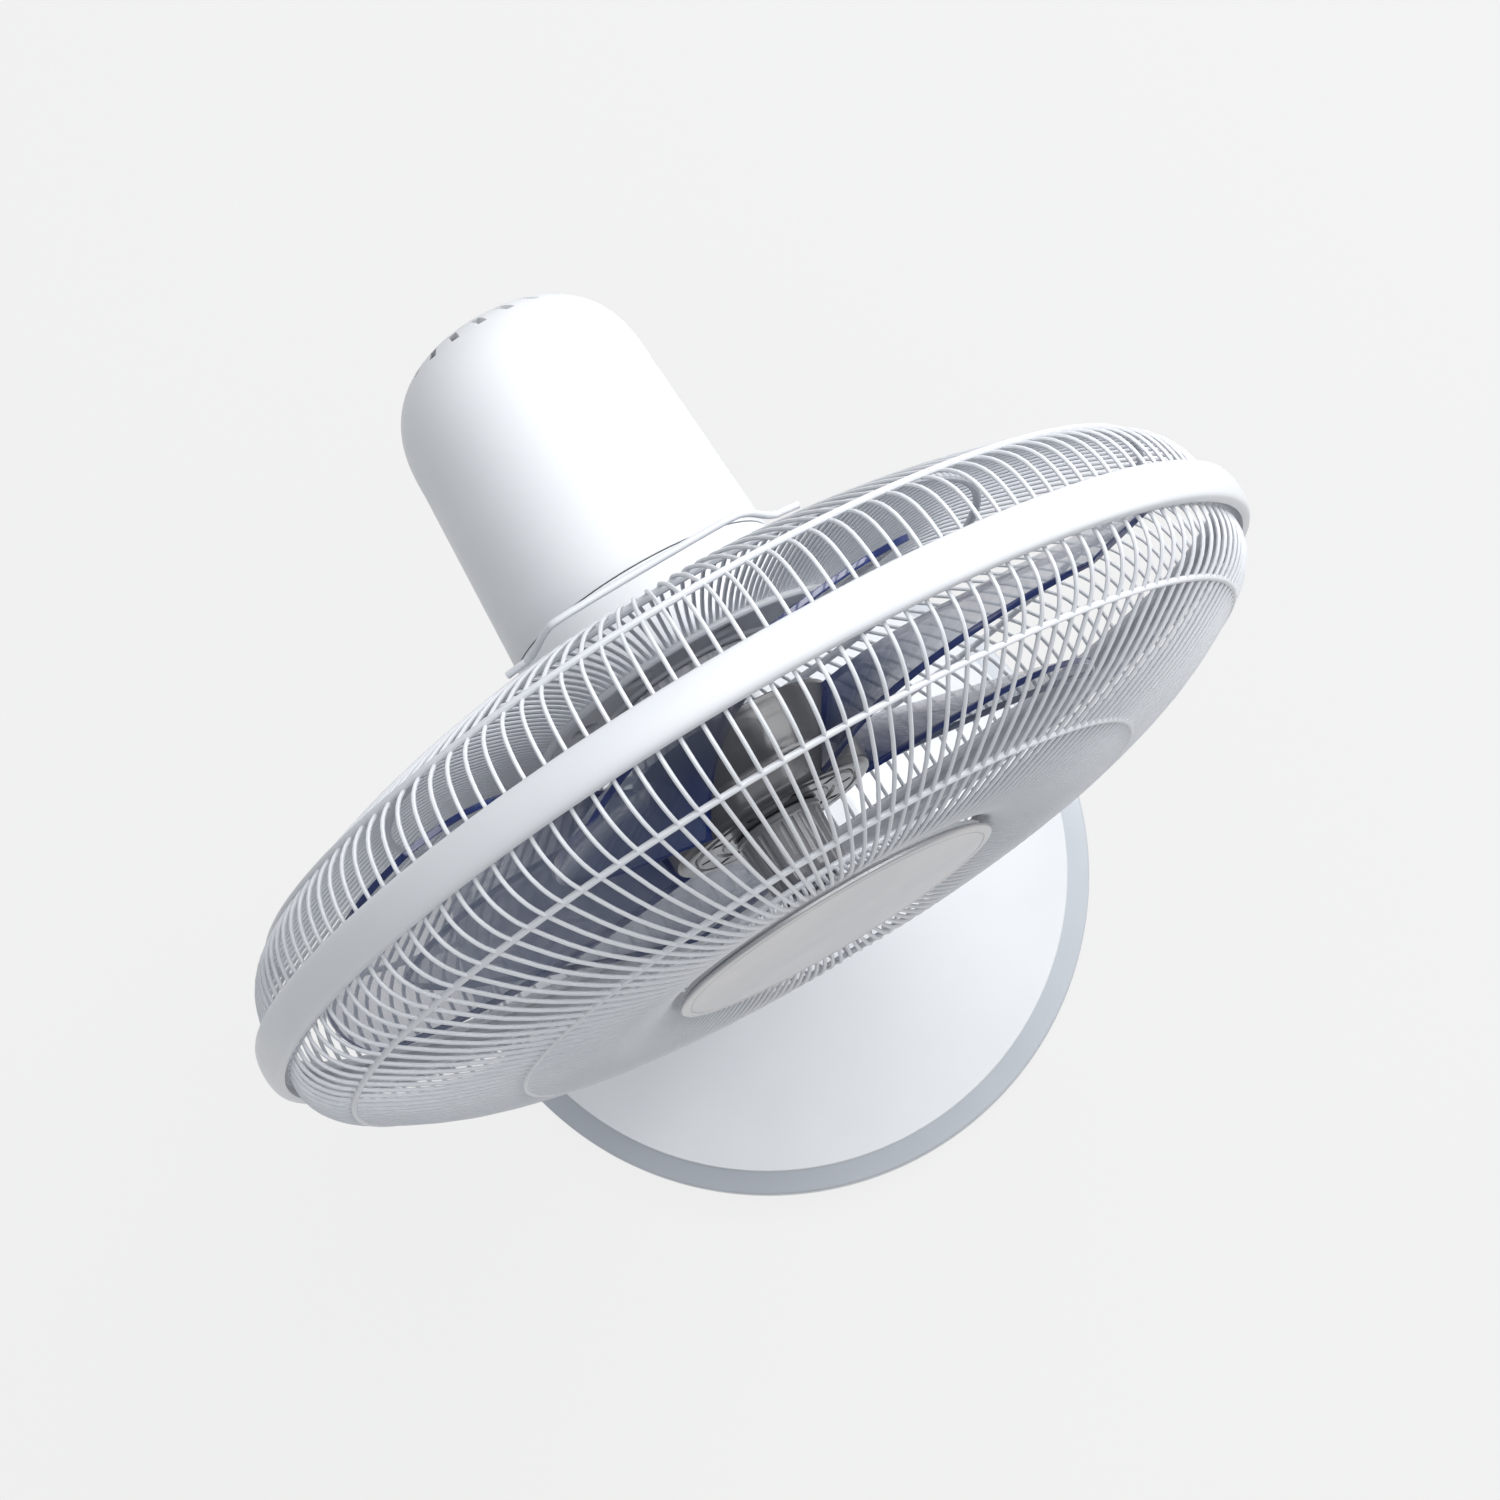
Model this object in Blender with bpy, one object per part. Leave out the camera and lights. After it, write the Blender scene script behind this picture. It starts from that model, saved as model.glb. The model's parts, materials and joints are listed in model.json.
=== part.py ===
"""Desk fan with a round base, a leaning column and an oscillating, tilting caged head.

Metres, +Z up, the fan blows towards -Y. Everything is made around the middle of the base and
then slid forwards, so that the origin is the middle of the whole fan's footprint, on the table.
In the head, "back" is the distance behind the plane of the clamp band along the blade axis.
"""

import math

import bmesh
import bpy
from mathutils import Matrix, Vector

# Clearances
FIT = 0.0003           # between pieces that touch
SLIDE = 0.0005         # between pieces that turn or slide in each other
MOVE = 0.0010          # between pieces that swing past each other

# Overall
AXIS_HEIGHT = 0.410    # blade axis above the table
RIM_FORWARD = 0.037    # clamp band plane ahead of the base centre
PIVOT_BACK = 0.075     # oscillation axis and tilt hinge behind the base centre
PIVOT_DROP = 0.075     # tilt hinge below the blade axis
GUARD_RADIUS = 0.220   # outside of the clamp band
BASE_RADIUS = 0.160

# Base
FOOT_COUNT = 4
FOOT_RADIUS = 0.010
FOOT_HEIGHT = 0.0032
FOOT_INSET = 0.026     # foot centre in from the base edge
BASE_EDGE = 0.013      # height of the side wall
BASE_BAND = 0.011      # flat band around the top
BAND_STEP = 0.0012     # small step at the inside of the band
BASE_WALL = 0.0025
PAD_RADIUS = 0.054     # flat top that carries the column
PAD_HEIGHT = 0.034     # pad above the table
FLARE = 1.7            # curve of the rise from the band to the pad
WIRE_HOLE = 0.008
COVER_THICKNESS = 0.002
WEIGHT_THICKNESS = 0.005
WEIGHT_INNER = 0.085
GLAND_RADIUS = 0.0040
GLAND_BORE = 0.0028
GLAND_LENGTH = 0.0105

# Column
COLUMN_FOOT_BACK = 0.020   # middle of the column foot behind the base centre
COLUMN_TOP = 0.2965
COLUMN_HALF_WIDTH = 0.033
COLUMN_HALF_DEPTH = 0.030
COLUMN_FLARE = 0.006       # extra half width at the foot
COLUMN_FLARE_HEIGHT = 0.045
COLUMN_SQUARENESS = 4.0
COLUMN_WALL = 0.0024
COLUMN_FLOOR = 0.004
COLUMN_CAP = 0.008
COLUMN_SCREWS = 3
COLUMN_SCREW_CIRCLE = 0.020
COLUMN_SPLIT = 0.06        # degrees kept clear at each split line
SCREW_SHANK = 0.0018
SCREW_HEAD = 0.0036
SCREW_HEAD_HEIGHT = 0.0024

# Keys
KEY_NAMES = ("key_off", "key_low", "key_medium", "key_high", "key_oscillate")
KEY_WIDTH = 0.019
KEY_HEIGHT = 0.009
KEY_PITCH = 0.0135
KEY_PROUD = 0.0045     # key face in front of the panel
KEY_TRAVEL = 0.003
KEY_DEPTH = 0.006      # key shank behind the column face
PANEL_WIDTH = 0.031
PANEL_THICKNESS = 0.002
PANEL_MARGIN = 0.006   # panel beyond the outer keys
PANEL_LOW = 0.088      # centre of the lowest key above the table
SWITCH_DEPTH = 0.013

# Neck
SHAFT_POST_RADIUS = 0.0082
BUSH_WALL = 0.0045
COLLAR_RADIUS = 0.029
COLLAR_HEIGHT = 0.0115
CHEEK_GAP = 0.0240     # space between the fork cheeks
CHEEK_THICKNESS = 0.009
CHEEK_RADIUS = 0.0175
HINGE_RADIUS = 0.004
ARM_RADIUS = 0.016
KNOB_RADIUS = 0.014
KNOB_LENGTH = 0.015
OSC_MOTOR_RADIUS = 0.021
OSC_MOTOR_HEIGHT = 0.018
OSC_OFFSET = 0.010     # oscillation motor axis in front of the neck axis
CRANK_RADIUS = 0.0105
CRANK_THROW = 0.0075
LEVER_REACH = 0.021
LEVER_THICKNESS = 0.003
LEVER_WIDTH = 0.021
LEVER_LOW = 0.2635     # underside of the lever

# Motor housing
HOUSING_START = 0.0560     # front wall, back from the rim plane
HOUSING_SEAM = 0.0910
HOUSING_SHOULDER = 0.1740  # where the dome begins
HOUSING_END = 0.2220
HOUSING_FRONT_RADIUS = 0.0590
HOUSING_REAR_RADIUS = 0.0532
DOME_POWER = 2.6           # 2 is a round dome, more is squarer
HOUSING_WALL = 0.0022
HOUSING_EDGE = 0.004       # rounding of the front edge
BORE_TWIST = 4.0       # degrees that the rear screw bores are turned
VENT_COUNT = 20
VENT_RADIUS = 0.0372
VENT_LENGTH = 0.012
VENT_WIDTH = 0.0032
VENT_SWIRL = 38.0          # degrees off the radial direction
VENT_DEPTH = 0.008
COVER_SCREW_HEAD = 0.0038

# Motor
SHAFT_RADIUS = 0.004
DRIVE_PIN_RADIUS = 0.0015
DRIVE_PIN_LENGTH = 0.016
STATOR_RADIUS = 0.040
STATOR_BORE = 0.0255
STATOR_START = 0.092
STATOR_LENGTH = 0.028
WINDING_LENGTH = 0.0087
WINDING_OUTER = 0.0335
PLATE_RADIUS = 0.043
PLATE_THICKNESS = 0.003
BEARING_RADIUS = 0.008
BEARING_LENGTH = 0.011
NOSE_WALL = 0.005
MOTOR_BOLT_CIRCLE = 0.0372
MOTOR_BOLT_RADIUS = 0.0018
MOTOR_BOLTS = 2

# Cage
WIRE_COUNT = 20
WIRE_WIDTH = 0.0030
WIRE_THICKNESS = 0.0024
RING_WIDTH = 0.0040
BAND_WIDTH = 0.017
BAND_HEIGHT = 0.0055       # thickness of the clamp band at its crown
BAND_GAP = 0.0050          # opening of the clamp band at its lowest point
LUG_HEIGHT = 0.011
LUG_THICKNESS = 0.0035
LUG_WIDTH = 0.010
BAND_NUT_RADIUS = 0.0036
BAND_NUT_LENGTH = 0.0026
RING_SEAT = 0.0045         # cage end rings either side of the band plane
FRONT_SHOULDER = (0.1973, 0.0285)   # radius, distance from the band plane
FRONT_MIDDLE = (0.1362, 0.0530)
FRONT_CREST = (0.1050, 0.0580)
FRONT_CENTRE = (0.0725, 0.0540)
REAR_SHOULDER = (0.1960, 0.0360)
REAR_MIDDLE = (0.1340, 0.0590)
REAR_CREST = (0.1100, 0.0625)
REAR_CENTRE = (0.0690, 0.0560)
BADGE_RADIUS = 0.0700
BADGE_THICKNESS = 0.0030
BADGE_DOME = 0.0012
BADGE_FRONT = 0.0600
BACKING_RADIUS = 0.0680
BACKING_THICKNESS = 0.0030
MOUNT_PLATE_THICKNESS = 0.0020
PLATE_VENTS = 8
PLATE_VENT = 0.0060
PLATE_VENT_CIRCLE = 0.0500
MOUNT_BOSS_RADIUS = 0.0195
MOUNT_BOSS_LENGTH = 0.0120
NUT_RADIUS = 0.0310
NUT_LENGTH = 0.0060
HANDLE_WIDTH = 0.088
HANDLE_WIRE = 0.0022
HANDLE_RISE = 0.018
HANDLE_BACK = 0.0008
HANDLE_FOOT = 0.030

# Blades
BLADE_COUNT = 5
BLADE_PHASE = -10.0        # degrees, first blade from straight up
BLADE_TIP = 0.190
BLADE_THICKNESS = 0.0022
HUB_RADIUS = 0.044
HUB_WALL = 0.0025
HUB_FRONT = 0.012          # hub face ahead of the band plane
HUB_BACK = 0.026
HUB_SLEEVE = 0.009
HUB_SLEEVE_BACK = 0.0205
SPINNER_RADIUS = 0.0185
SPINNER_LENGTH = 0.030
SPINNER_FLUTES = 12
FLUTE_DEPTH = 0.0010
SHAFT_SHARE = 0.6          # part of the spinner's length that the shaft reaches into

# Derived places
RIM_Y = -RIM_FORWARD
PIVOT_Z = AXIS_HEIGHT - PIVOT_DROP
BASE_TOP = FOOT_HEIGHT + BASE_EDGE
COLUMN_BOTTOM = PAD_HEIGHT + FIT


# Sides of round pieces
ROUND_BASE = 36
ROUND_BAND = 44
ROUND_WIDE = 24
ROUND_MID = 16
ROUND_SMALL = 8
COLUMN_POINTS = 13         # points of half the column outline


# Helpers

def material(name, colour, roughness, metallic=0.0):
    made = bpy.data.materials.new(name)
    made.use_nodes = True
    shader = made.node_tree.nodes["Principled BSDF"]
    shader.inputs["Base Color"].default_value = (*colour, 1.0)
    shader.inputs["Roughness"].default_value = roughness
    shader.inputs["Metallic"].default_value = metallic
    return made


def add(name, bm, finish, parent=None, is_tool=False):
    """Make an object from a bmesh in world coordinates and hang it on its axis."""
    bmesh.ops.recalc_face_normals(bm, faces=bm.faces)
    mesh = bpy.data.meshes.new(name)
    bm.to_mesh(mesh)
    bm.free()
    mesh.shade_smooth()
    mesh.set_sharp_from_angle(angle=math.radians(35))
    made = bpy.data.objects.new(name, mesh)
    bpy.context.scene.collection.objects.link(made)
    if finish:
        mesh.materials.append(finish)
    if parent:
        made.parent = parent
        made.matrix_parent_inverse = parent.matrix_world.inverted()
    if is_tool:
        made.hide_render = True
        made.display_type = "WIRE"
    return made


def axis_empty(name, place, parent=None):
    made = bpy.data.objects.new(name, None)
    bpy.context.scene.collection.objects.link(made)
    made.location = Vector(place) - (parent.matrix_world.translation if parent else Vector())
    made.parent = parent
    bpy.context.view_layer.update()
    return made


def combine(target, tool, operation):
    step = target.modifiers.new(tool.name, "BOOLEAN")
    step.operation = operation
    step.object = tool
    step.solver = "EXACT"


def turned(profile, axis, centre, steps, closed=True, angle=math.tau):
    """Spin (radius, height) points about an axis through centre; heights run along the axis."""
    bm = bmesh.new()
    centre = Vector(centre)
    direction = {"X": Vector((1, 0, 0)), "Y": Vector((0, 1, 0)), "Z": Vector((0, 0, 1))}[axis]
    outward = Vector((0, 0, -1)) if axis != "Z" else Vector((1, 0, 0))
    points = [bm.verts.new(centre + outward * r + direction * h) for r, h in profile]
    edges = [bm.edges.new(pair) for pair in zip(points, points[1:])]
    if closed:
        edges.append(bm.edges.new((points[-1], points[0])))
    full = abs(angle - math.tau) < 1e-6
    geometry = points + edges
    if not full:
        geometry.append(bm.faces.new(points))
    bmesh.ops.spin(bm, geom=geometry, cent=centre, axis=direction, dvec=(0, 0, 0),
                   angle=angle, steps=steps, use_merge=full, use_duplicate=False)
    bmesh.ops.remove_doubles(bm, verts=bm.verts, dist=1e-6)
    return bm


def clear(radius, steps):
    """Radius whose flats, not corners, stand at the given radius."""
    return radius / math.cos(math.pi / steps)


def ring(inner, outer, low, high, axis, centre, steps):
    inner = clear(inner, steps)
    return turned([(inner, low), (outer, low), (outer, high), (inner, high)], axis, centre, steps)


def disc(radius, low, high, axis, centre, steps):
    return turned([(0, low), (radius, low), (radius, high), (0, high)], axis, centre, steps,
                  closed=False)


def bore_tool(radius, low, high, axis, centre, steps):
    return disc(clear(radius, steps), low, high, axis, centre, steps)


def loft(sections):
    """Join equal closed outlines into one closed skin."""
    bm = bmesh.new()
    rows = [[bm.verts.new(point) for point in section] for section in sections]
    for low, high in zip(rows, rows[1:]):
        for i in range(len(low)):
            j = (i + 1) % len(low)
            bm.faces.new((low[i], low[j], high[j], high[i]))
    bm.faces.new(list(reversed(rows[0])))
    bm.faces.new(rows[-1])
    return bm


def extruded(outline, direction):
    direction = Vector(direction)
    return loft([[Vector(p) for p in outline], [Vector(p) + direction for p in outline]])


def block(low, high, bevel=0.0):
    bm = bmesh.new()
    low, high = Vector(low), Vector(high)
    size = high - low
    place = Matrix.Translation((low + high) / 2) @ Matrix.Diagonal((*size, 1.0))
    bmesh.ops.create_cube(bm, size=1.0, matrix=place)
    if bevel:
        bmesh.ops.bevel(bm, geom=list(bm.edges), offset=bevel, segments=1, profile=0.5,
                        affect="EDGES", material=-1)
    return bm


def turn(bm, matrix):
    bmesh.ops.transform(bm, matrix=matrix, verts=bm.verts)
    return bm


def circle_points(count, radius, phase=0.0):
    return [(radius * math.cos(phase + math.tau * k / count),
             radius * math.sin(phase + math.tau * k / count)) for k in range(count)]


def head(x, back, z):
    """A point in the head: sideways, behind the rim plane, above the blade axis."""
    return (x, RIM_Y + back, AXIS_HEIGHT + z)


def screw(name, head_radius, shank_radius, head_length, length, place, direction, parent, finish):
    """A pan-head screw: place is under the head, direction is where the shank points."""
    profile = [(0, -head_length), (head_radius * 0.8, -head_length), (head_radius, -head_length / 2),
               (head_radius, 0), (shank_radius, 0), (shank_radius, length), (0, length)]
    bm = turned(profile, "Z", (0, 0, 0), ROUND_SMALL, closed=False)
    rotation = Vector((0, 0, 1)).rotation_difference(Vector(direction)).to_matrix().to_4x4()
    turn(bm, Matrix.Translation(place) @ rotation)
    return add(name, bm, finish, parent)


# Base

def base_profile(drop):
    """Outer line of the base from the side wall to the pad, lowered by a wall thickness."""
    radius = BASE_RADIUS - drop
    start = BASE_RADIUS - BASE_BAND
    line = [(radius, FOOT_HEIGHT), (radius, BASE_TOP - 0.0018 - drop),
            (radius - 0.0006, BASE_TOP - 0.0005 - drop), (radius - 0.0018, BASE_TOP - drop),
            (start, BASE_TOP - drop)]
    low = BASE_TOP + BAND_STEP
    for k in range(5):
        share = k / 4
        line.append((start - 0.0008 + (PAD_RADIUS - start) * share,
                     low + (PAD_HEIGHT - low) * share ** FLARE - drop))
    return line


def make_base(finish):
    outer = base_profile(0.0)
    outer.append((WIRE_HOLE, PAD_HEIGHT))
    inner = base_profile(BASE_WALL)
    inner.append((WIRE_HOLE, PAD_HEIGHT - BASE_WALL))
    shell = add("base_shell", turned(outer + inner[::-1], "Z", (0, 0, 0), ROUND_BASE),
                finish["white"])

    weight_low = FOOT_HEIGHT + FIT * 2 + COVER_THICKNESS
    weight_outer = BASE_RADIUS - BASE_BAND - 0.004
    add("base_weight", ring(WEIGHT_INNER, weight_outer, weight_low,
                            weight_low + WEIGHT_THICKNESS, "Z", (0, 0, 0), ROUND_WIDE), finish["steel"])
    cover_radius = BASE_RADIUS - BASE_WALL - GLAND_LENGTH + MOVE
    add("base_cover", disc(cover_radius, FOOT_HEIGHT + FIT, FOOT_HEIGHT + FIT + COVER_THICKNESS,
                           "Z", (0, 0, 0), ROUND_WIDE), finish["grey"])
    for k, (x, y) in enumerate(circle_points(FOOT_COUNT, BASE_RADIUS - FOOT_INSET, math.pi / 4)):
        profile = [(0, 0), (FOOT_RADIUS - 0.0006, 0), (FOOT_RADIUS, 0.0006),
                   (FOOT_RADIUS, FOOT_HEIGHT), (0, FOOT_HEIGHT)]
        add(f"foot_{k + 1}", turned(profile, "Z", (x, y, 0), ROUND_SMALL, closed=False),
            finish["rubber"])

    gland_z = FOOT_HEIGHT + FIT + COVER_THICKNESS + GLAND_RADIUS
    gland_end = BASE_RADIUS - FIT
    hole = add("gland_hole", bore_tool(GLAND_RADIUS + FIT, BASE_RADIUS - 0.02, BASE_RADIUS + 0.01,
                                       "Y", (0, 0, gland_z), ROUND_MID), None, is_tool=True)
    combine(shell, hole, "DIFFERENCE")
    add("cord_gland", ring(GLAND_BORE, GLAND_RADIUS, gland_end - GLAND_LENGTH + MOVE * 2, gland_end,
                           "Y", (0, 0, gland_z), ROUND_MID), finish["rubber"])
    return shell


# Column

def column_centre(z):
    share = (z - COLUMN_BOTTOM) / (COLUMN_TOP - COLUMN_BOTTOM)
    return COLUMN_FOOT_BACK + (PIVOT_BACK - COLUMN_FOOT_BACK) * share


def column_flare(z):
    up = min(1.0, (z - COLUMN_BOTTOM) / COLUMN_FLARE_HEIGHT)
    return COLUMN_FLARE * (1 - up) ** 2


def column_outline(z, inset, start, end, count):
    """Points of the squared oval at height z, between two angles in degrees."""
    width = COLUMN_HALF_WIDTH + column_flare(z) - inset
    depth = COLUMN_HALF_DEPTH + column_flare(z) - inset
    power = 2 / COLUMN_SQUARENESS
    points = []
    for k in range(count):
        a = math.radians(start + (end - start) * k / (count - 1))
        c, s = math.cos(a), math.sin(a)
        points.append(Vector((width * math.copysign(abs(c) ** power, c),
                              column_centre(z) + depth * math.copysign(abs(s) ** power, s), z)))
    return points


def column_front(z):
    return column_centre(z) - COLUMN_HALF_DEPTH - column_flare(z)


def column_half(name, start, finish):
    """Half of the column wall, from one split line to the other."""
    levels = [COLUMN_BOTTOM + COLUMN_FLARE_HEIGHT * share for share in (0, 0.2, 0.45, 0.75, 1)]
    levels.append(COLUMN_TOP)
    sections = []
    for z in levels:
        ends = (start + COLUMN_SPLIT, start + 180 - COLUMN_SPLIT)
        outer = column_outline(z, 0.0, *ends, COLUMN_POINTS)
        inner = column_outline(z, COLUMN_WALL, *ends, COLUMN_POINTS)
        sections.append(outer + inner[::-1])
    return add(name, loft(sections), finish)


def column_plate(name, low, high, finish):
    """A floor or shelf that fills the column with a fit all round."""
    inset = COLUMN_WALL + FIT
    count = 2 * (COLUMN_POINTS - 1)
    sections = [column_outline(z, inset, 0, 360 - 360 / count, count) for z in (low, high)]
    return add(name, loft(sections), finish)


def make_column(finish, shell):
    rear = column_half("column_rear_shell", 0, finish["white"])
    front = column_half("column_front_shell", 180, finish["white"])

    floor = column_plate("column_floor", COLUMN_BOTTOM, COLUMN_BOTTOM + COLUMN_FLOOR,
                         finish["grey"])
    wire_way = add("floor_wire_way", bore_tool(WIRE_HOLE, COLUMN_BOTTOM - 0.01, COLUMN_BOTTOM + 0.02,
                                               "Z", (0, COLUMN_FOOT_BACK - 0.010, 0), ROUND_SMALL),
                   None, is_tool=True)
    combine(floor, wire_way, "DIFFERENCE")
    for k, (x, y) in enumerate(circle_points(COLUMN_SCREWS, COLUMN_SCREW_CIRCLE, math.pi / 2)):
        y += COLUMN_FOOT_BACK
        hole = add(f"column_screw_hole_{k + 1}",
                   bore_tool(SCREW_SHANK + FIT, PAD_HEIGHT - 0.006,
                             COLUMN_BOTTOM + COLUMN_FLOOR + 0.004, "Z", (x, y, 0), ROUND_SMALL),
                   None, is_tool=True)
        combine(shell, hole, "DIFFERENCE")
        combine(floor, hole, "DIFFERENCE")
        screw(f"column_screw_{k + 1}", SCREW_HEAD, SCREW_SHANK, SCREW_HEAD_HEIGHT,
              BASE_WALL + FIT * 2 + COLUMN_FLOOR, (x, y, PAD_HEIGHT - BASE_WALL - FIT), (0, 0, 1), None,
              finish["zinc"])

    cap = column_plate("column_cap", COLUMN_TOP - COLUMN_CAP, COLUMN_TOP, finish["white"])
    bush_outer = SHAFT_POST_RADIUS + SLIDE + BUSH_WALL
    seat = add("bush_seat", bore_tool(bush_outer + FIT, COLUMN_TOP - COLUMN_CAP - 0.01,
                                      COLUMN_TOP + 0.01, "Z", (0, PIVOT_BACK, 0), ROUND_MID),
               None, is_tool=True)
    combine(cap, seat, "DIFFERENCE")
    add("neck_bush", ring(SHAFT_POST_RADIUS + SLIDE, bush_outer, COLUMN_TOP - COLUMN_CAP - 0.002,
                          COLUMN_TOP, "Z", (0, PIVOT_BACK, 0), ROUND_MID), finish["bronze"])
    return front


# Keys and switch

def panel_axes():
    """Right, up and outward directions of the leaning front face."""
    low, high = PANEL_LOW, PANEL_LOW + 0.05
    up = Vector((0, column_front(high) - column_front(low), high - low)).normalized()
    right = Vector((1, 0, 0))
    return right, up, right.cross(up)


def on_panel(bm):
    """Carry a shape from (right, up, outward) coordinates onto the column face."""
    right, up, out = panel_axes()
    place = Matrix((right, up, out)).transposed().to_4x4()
    origin = Vector((0, column_front(PANEL_LOW), PANEL_LOW))
    return turn(bm, Matrix.Translation(origin) @ place)


def make_keys(finish, front):
    last = len(KEY_NAMES) - 1
    reach = KEY_HEIGHT / 2 + PANEL_MARGIN
    panel = add("key_panel", on_panel(block((-PANEL_WIDTH / 2, -reach, FIT),
                                            (PANEL_WIDTH / 2, last * KEY_PITCH + reach,
                                             FIT + PANEL_THICKNESS), 0.0006)), finish["silver"])
    for k, name in enumerate(KEY_NAMES):
        up = k * KEY_PITCH
        half = Vector((KEY_WIDTH / 2, KEY_HEIGHT / 2))
        face = FIT + PANEL_THICKNESS + KEY_PROUD
        axis = axis_empty(f"{name}_axis", panel_point(up))
        add(name, on_panel(block((-half.x, up - half.y, -KEY_DEPTH), (half.x, up + half.y, face),
                                 0.0009)), finish["key"], axis)
        window = add(f"{name}_window", on_panel(block((-half.x - SLIDE, up - half.y - SLIDE, -0.02),
                                                      (half.x + SLIDE, up + half.y + SLIDE, 0.02))),
                     None, is_tool=True)
        combine(panel, window, "DIFFERENCE")
        combine(front, window, "DIFFERENCE")
    stop = KEY_DEPTH + KEY_TRAVEL + SLIDE
    add("switch_block", on_panel(block((-KEY_WIDTH / 2 - 0.002, -reach, -stop - SWITCH_DEPTH),
                                       (KEY_WIDTH / 2 + 0.002, last * KEY_PITCH + reach, -stop),
                                       0.0008)), finish["grey"])
    low = COLUMN_BOTTOM + COLUMN_FLOOR + MOVE
    back = column_centre(low) + 0.004
    add("run_capacitor", block((-0.018, back, low), (0.018, back + 0.014, low + 0.026), 0.0012),
        finish["black"])


def panel_point(up):
    """A point of the panel's middle line, up from the lowest key."""
    return Vector((0, column_front(PANEL_LOW), PANEL_LOW)) + panel_axes()[1] * up


# Neck and oscillation drive

def make_neck(finish, yaw):
    collar_low = COLUMN_TOP + MOVE
    collar_high = collar_low + COLLAR_HEIGHT
    profile = [(0, LEVER_LOW), (SHAFT_POST_RADIUS - 0.003, LEVER_LOW),
               (SHAFT_POST_RADIUS - 0.003, LEVER_LOW + LEVER_THICKNESS + FIT),
               (SHAFT_POST_RADIUS, LEVER_LOW + LEVER_THICKNESS + FIT),
               (SHAFT_POST_RADIUS, collar_low), (COLLAR_RADIUS - 0.001, collar_low),
               (COLLAR_RADIUS, collar_low + 0.001), (COLLAR_RADIUS, collar_high - 0.003),
               (COLLAR_RADIUS - 0.003, collar_high), (0, collar_high)]
    yoke = add("neck_yoke", turned(profile, "Z", (0, PIVOT_BACK, 0), ROUND_WIDE, closed=False),
               finish["white"], yaw)
    for side, name in ((-1, "left_cheek"), (1, "right_cheek")):
        arc = circle_points(24, CHEEK_RADIUS)[0:13]
        outline = [(0, PIVOT_BACK + a, PIVOT_Z + b) for a, b in arc]
        outline += [(0, PIVOT_BACK - CHEEK_RADIUS, collar_high - 0.004),
                    (0, PIVOT_BACK + CHEEK_RADIUS, collar_high - 0.004)]
        inner = side * CHEEK_GAP / 2
        cheek = extruded([(inner, y, z) for _, y, z in outline], (side * CHEEK_THICKNESS, 0, 0))
        combine(yoke, add(name, cheek, None, yaw, is_tool=True), "UNION")
    half = CHEEK_GAP / 2 + CHEEK_THICKNESS
    bore = add("hinge_bore", bore_tool(HINGE_RADIUS + FIT, -0.05, 0.05, "X",
                                       (0, PIVOT_BACK, PIVOT_Z), ROUND_MID), None, is_tool=True)
    combine(yoke, bore, "DIFFERENCE")

    pin_head = 0.0035
    pin = [(0, -half - FIT - pin_head), (0.0065, -half - FIT - pin_head), (0.0075, -half - FIT - 0.0025),
           (0.0075, -half - FIT), (HINGE_RADIUS, -half - FIT), (HINGE_RADIUS, half + 0.010),
           (0, half + 0.010)]
    add("tilt_pin", turned(pin, "X", (0, PIVOT_BACK, PIVOT_Z), ROUND_MID, closed=False),
        finish["zinc"], yaw)

    knob_axis = axis_empty("tilt_knob_axis", (half, PIVOT_BACK, PIVOT_Z), yaw)
    start = half + SLIDE
    sections = []
    for x, scale in ((start, 0.62), (start + 0.003, 0.68), (start + 0.0045, 1.0),
                     (start + KNOB_LENGTH - 0.002, 0.95), (start + KNOB_LENGTH, 0.82)):
        section = []
        for k in range(18):
            lobe = 1 - 0.07 * (k % 3 == 0) if scale > 0.9 else 1
            a = math.tau * k / 18
            section.append(Vector((x, PIVOT_BACK + KNOB_RADIUS * scale * lobe * math.cos(a),
                                   PIVOT_Z + KNOB_RADIUS * scale * lobe * math.sin(a))))
        sections.append(section)
    knob = add("tilt_knob", loft(sections), finish["grey"], knob_axis)
    thread = add("knob_thread", bore_tool(HINGE_RADIUS + FIT, -0.05, half + 0.0105, "X",
                                          (0, PIVOT_BACK, PIVOT_Z), ROUND_MID), None, is_tool=True)
    combine(knob, thread, "DIFFERENCE")

    clip_high = COLUMN_TOP - COLUMN_CAP - 0.002 - SLIDE
    add("neck_clip", ring(SHAFT_POST_RADIUS + FIT, SHAFT_POST_RADIUS + 0.004, clip_high - 0.0015,
                          clip_high, "Z", (0, PIVOT_BACK, 0), ROUND_MID), finish["steel"], yaw)

    lever_hole = SHAFT_POST_RADIUS - 0.003 + FIT
    tip = 0.0055
    arc_back = circle_points(24, LEVER_WIDTH / 2)[0:13]
    arc_front = circle_points(24, tip)[12:25] + [(tip, 0)]
    outline = [(x, PIVOT_BACK + y, LEVER_LOW) for x, y in arc_back]
    outline += [(x, PIVOT_BACK - LEVER_REACH + tip + y, LEVER_LOW) for x, y in arc_front]
    lever = add("oscillation_lever", extruded(outline, (0, 0, LEVER_THICKNESS)), finish["steel"], yaw)
    seat = add("lever_seat", bore_tool(lever_hole, LEVER_LOW - 0.01, LEVER_LOW + 0.02, "Z",
                                       (0, PIVOT_BACK, 0), ROUND_MID), None, is_tool=True)
    combine(lever, seat, "DIFFERENCE")


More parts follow.
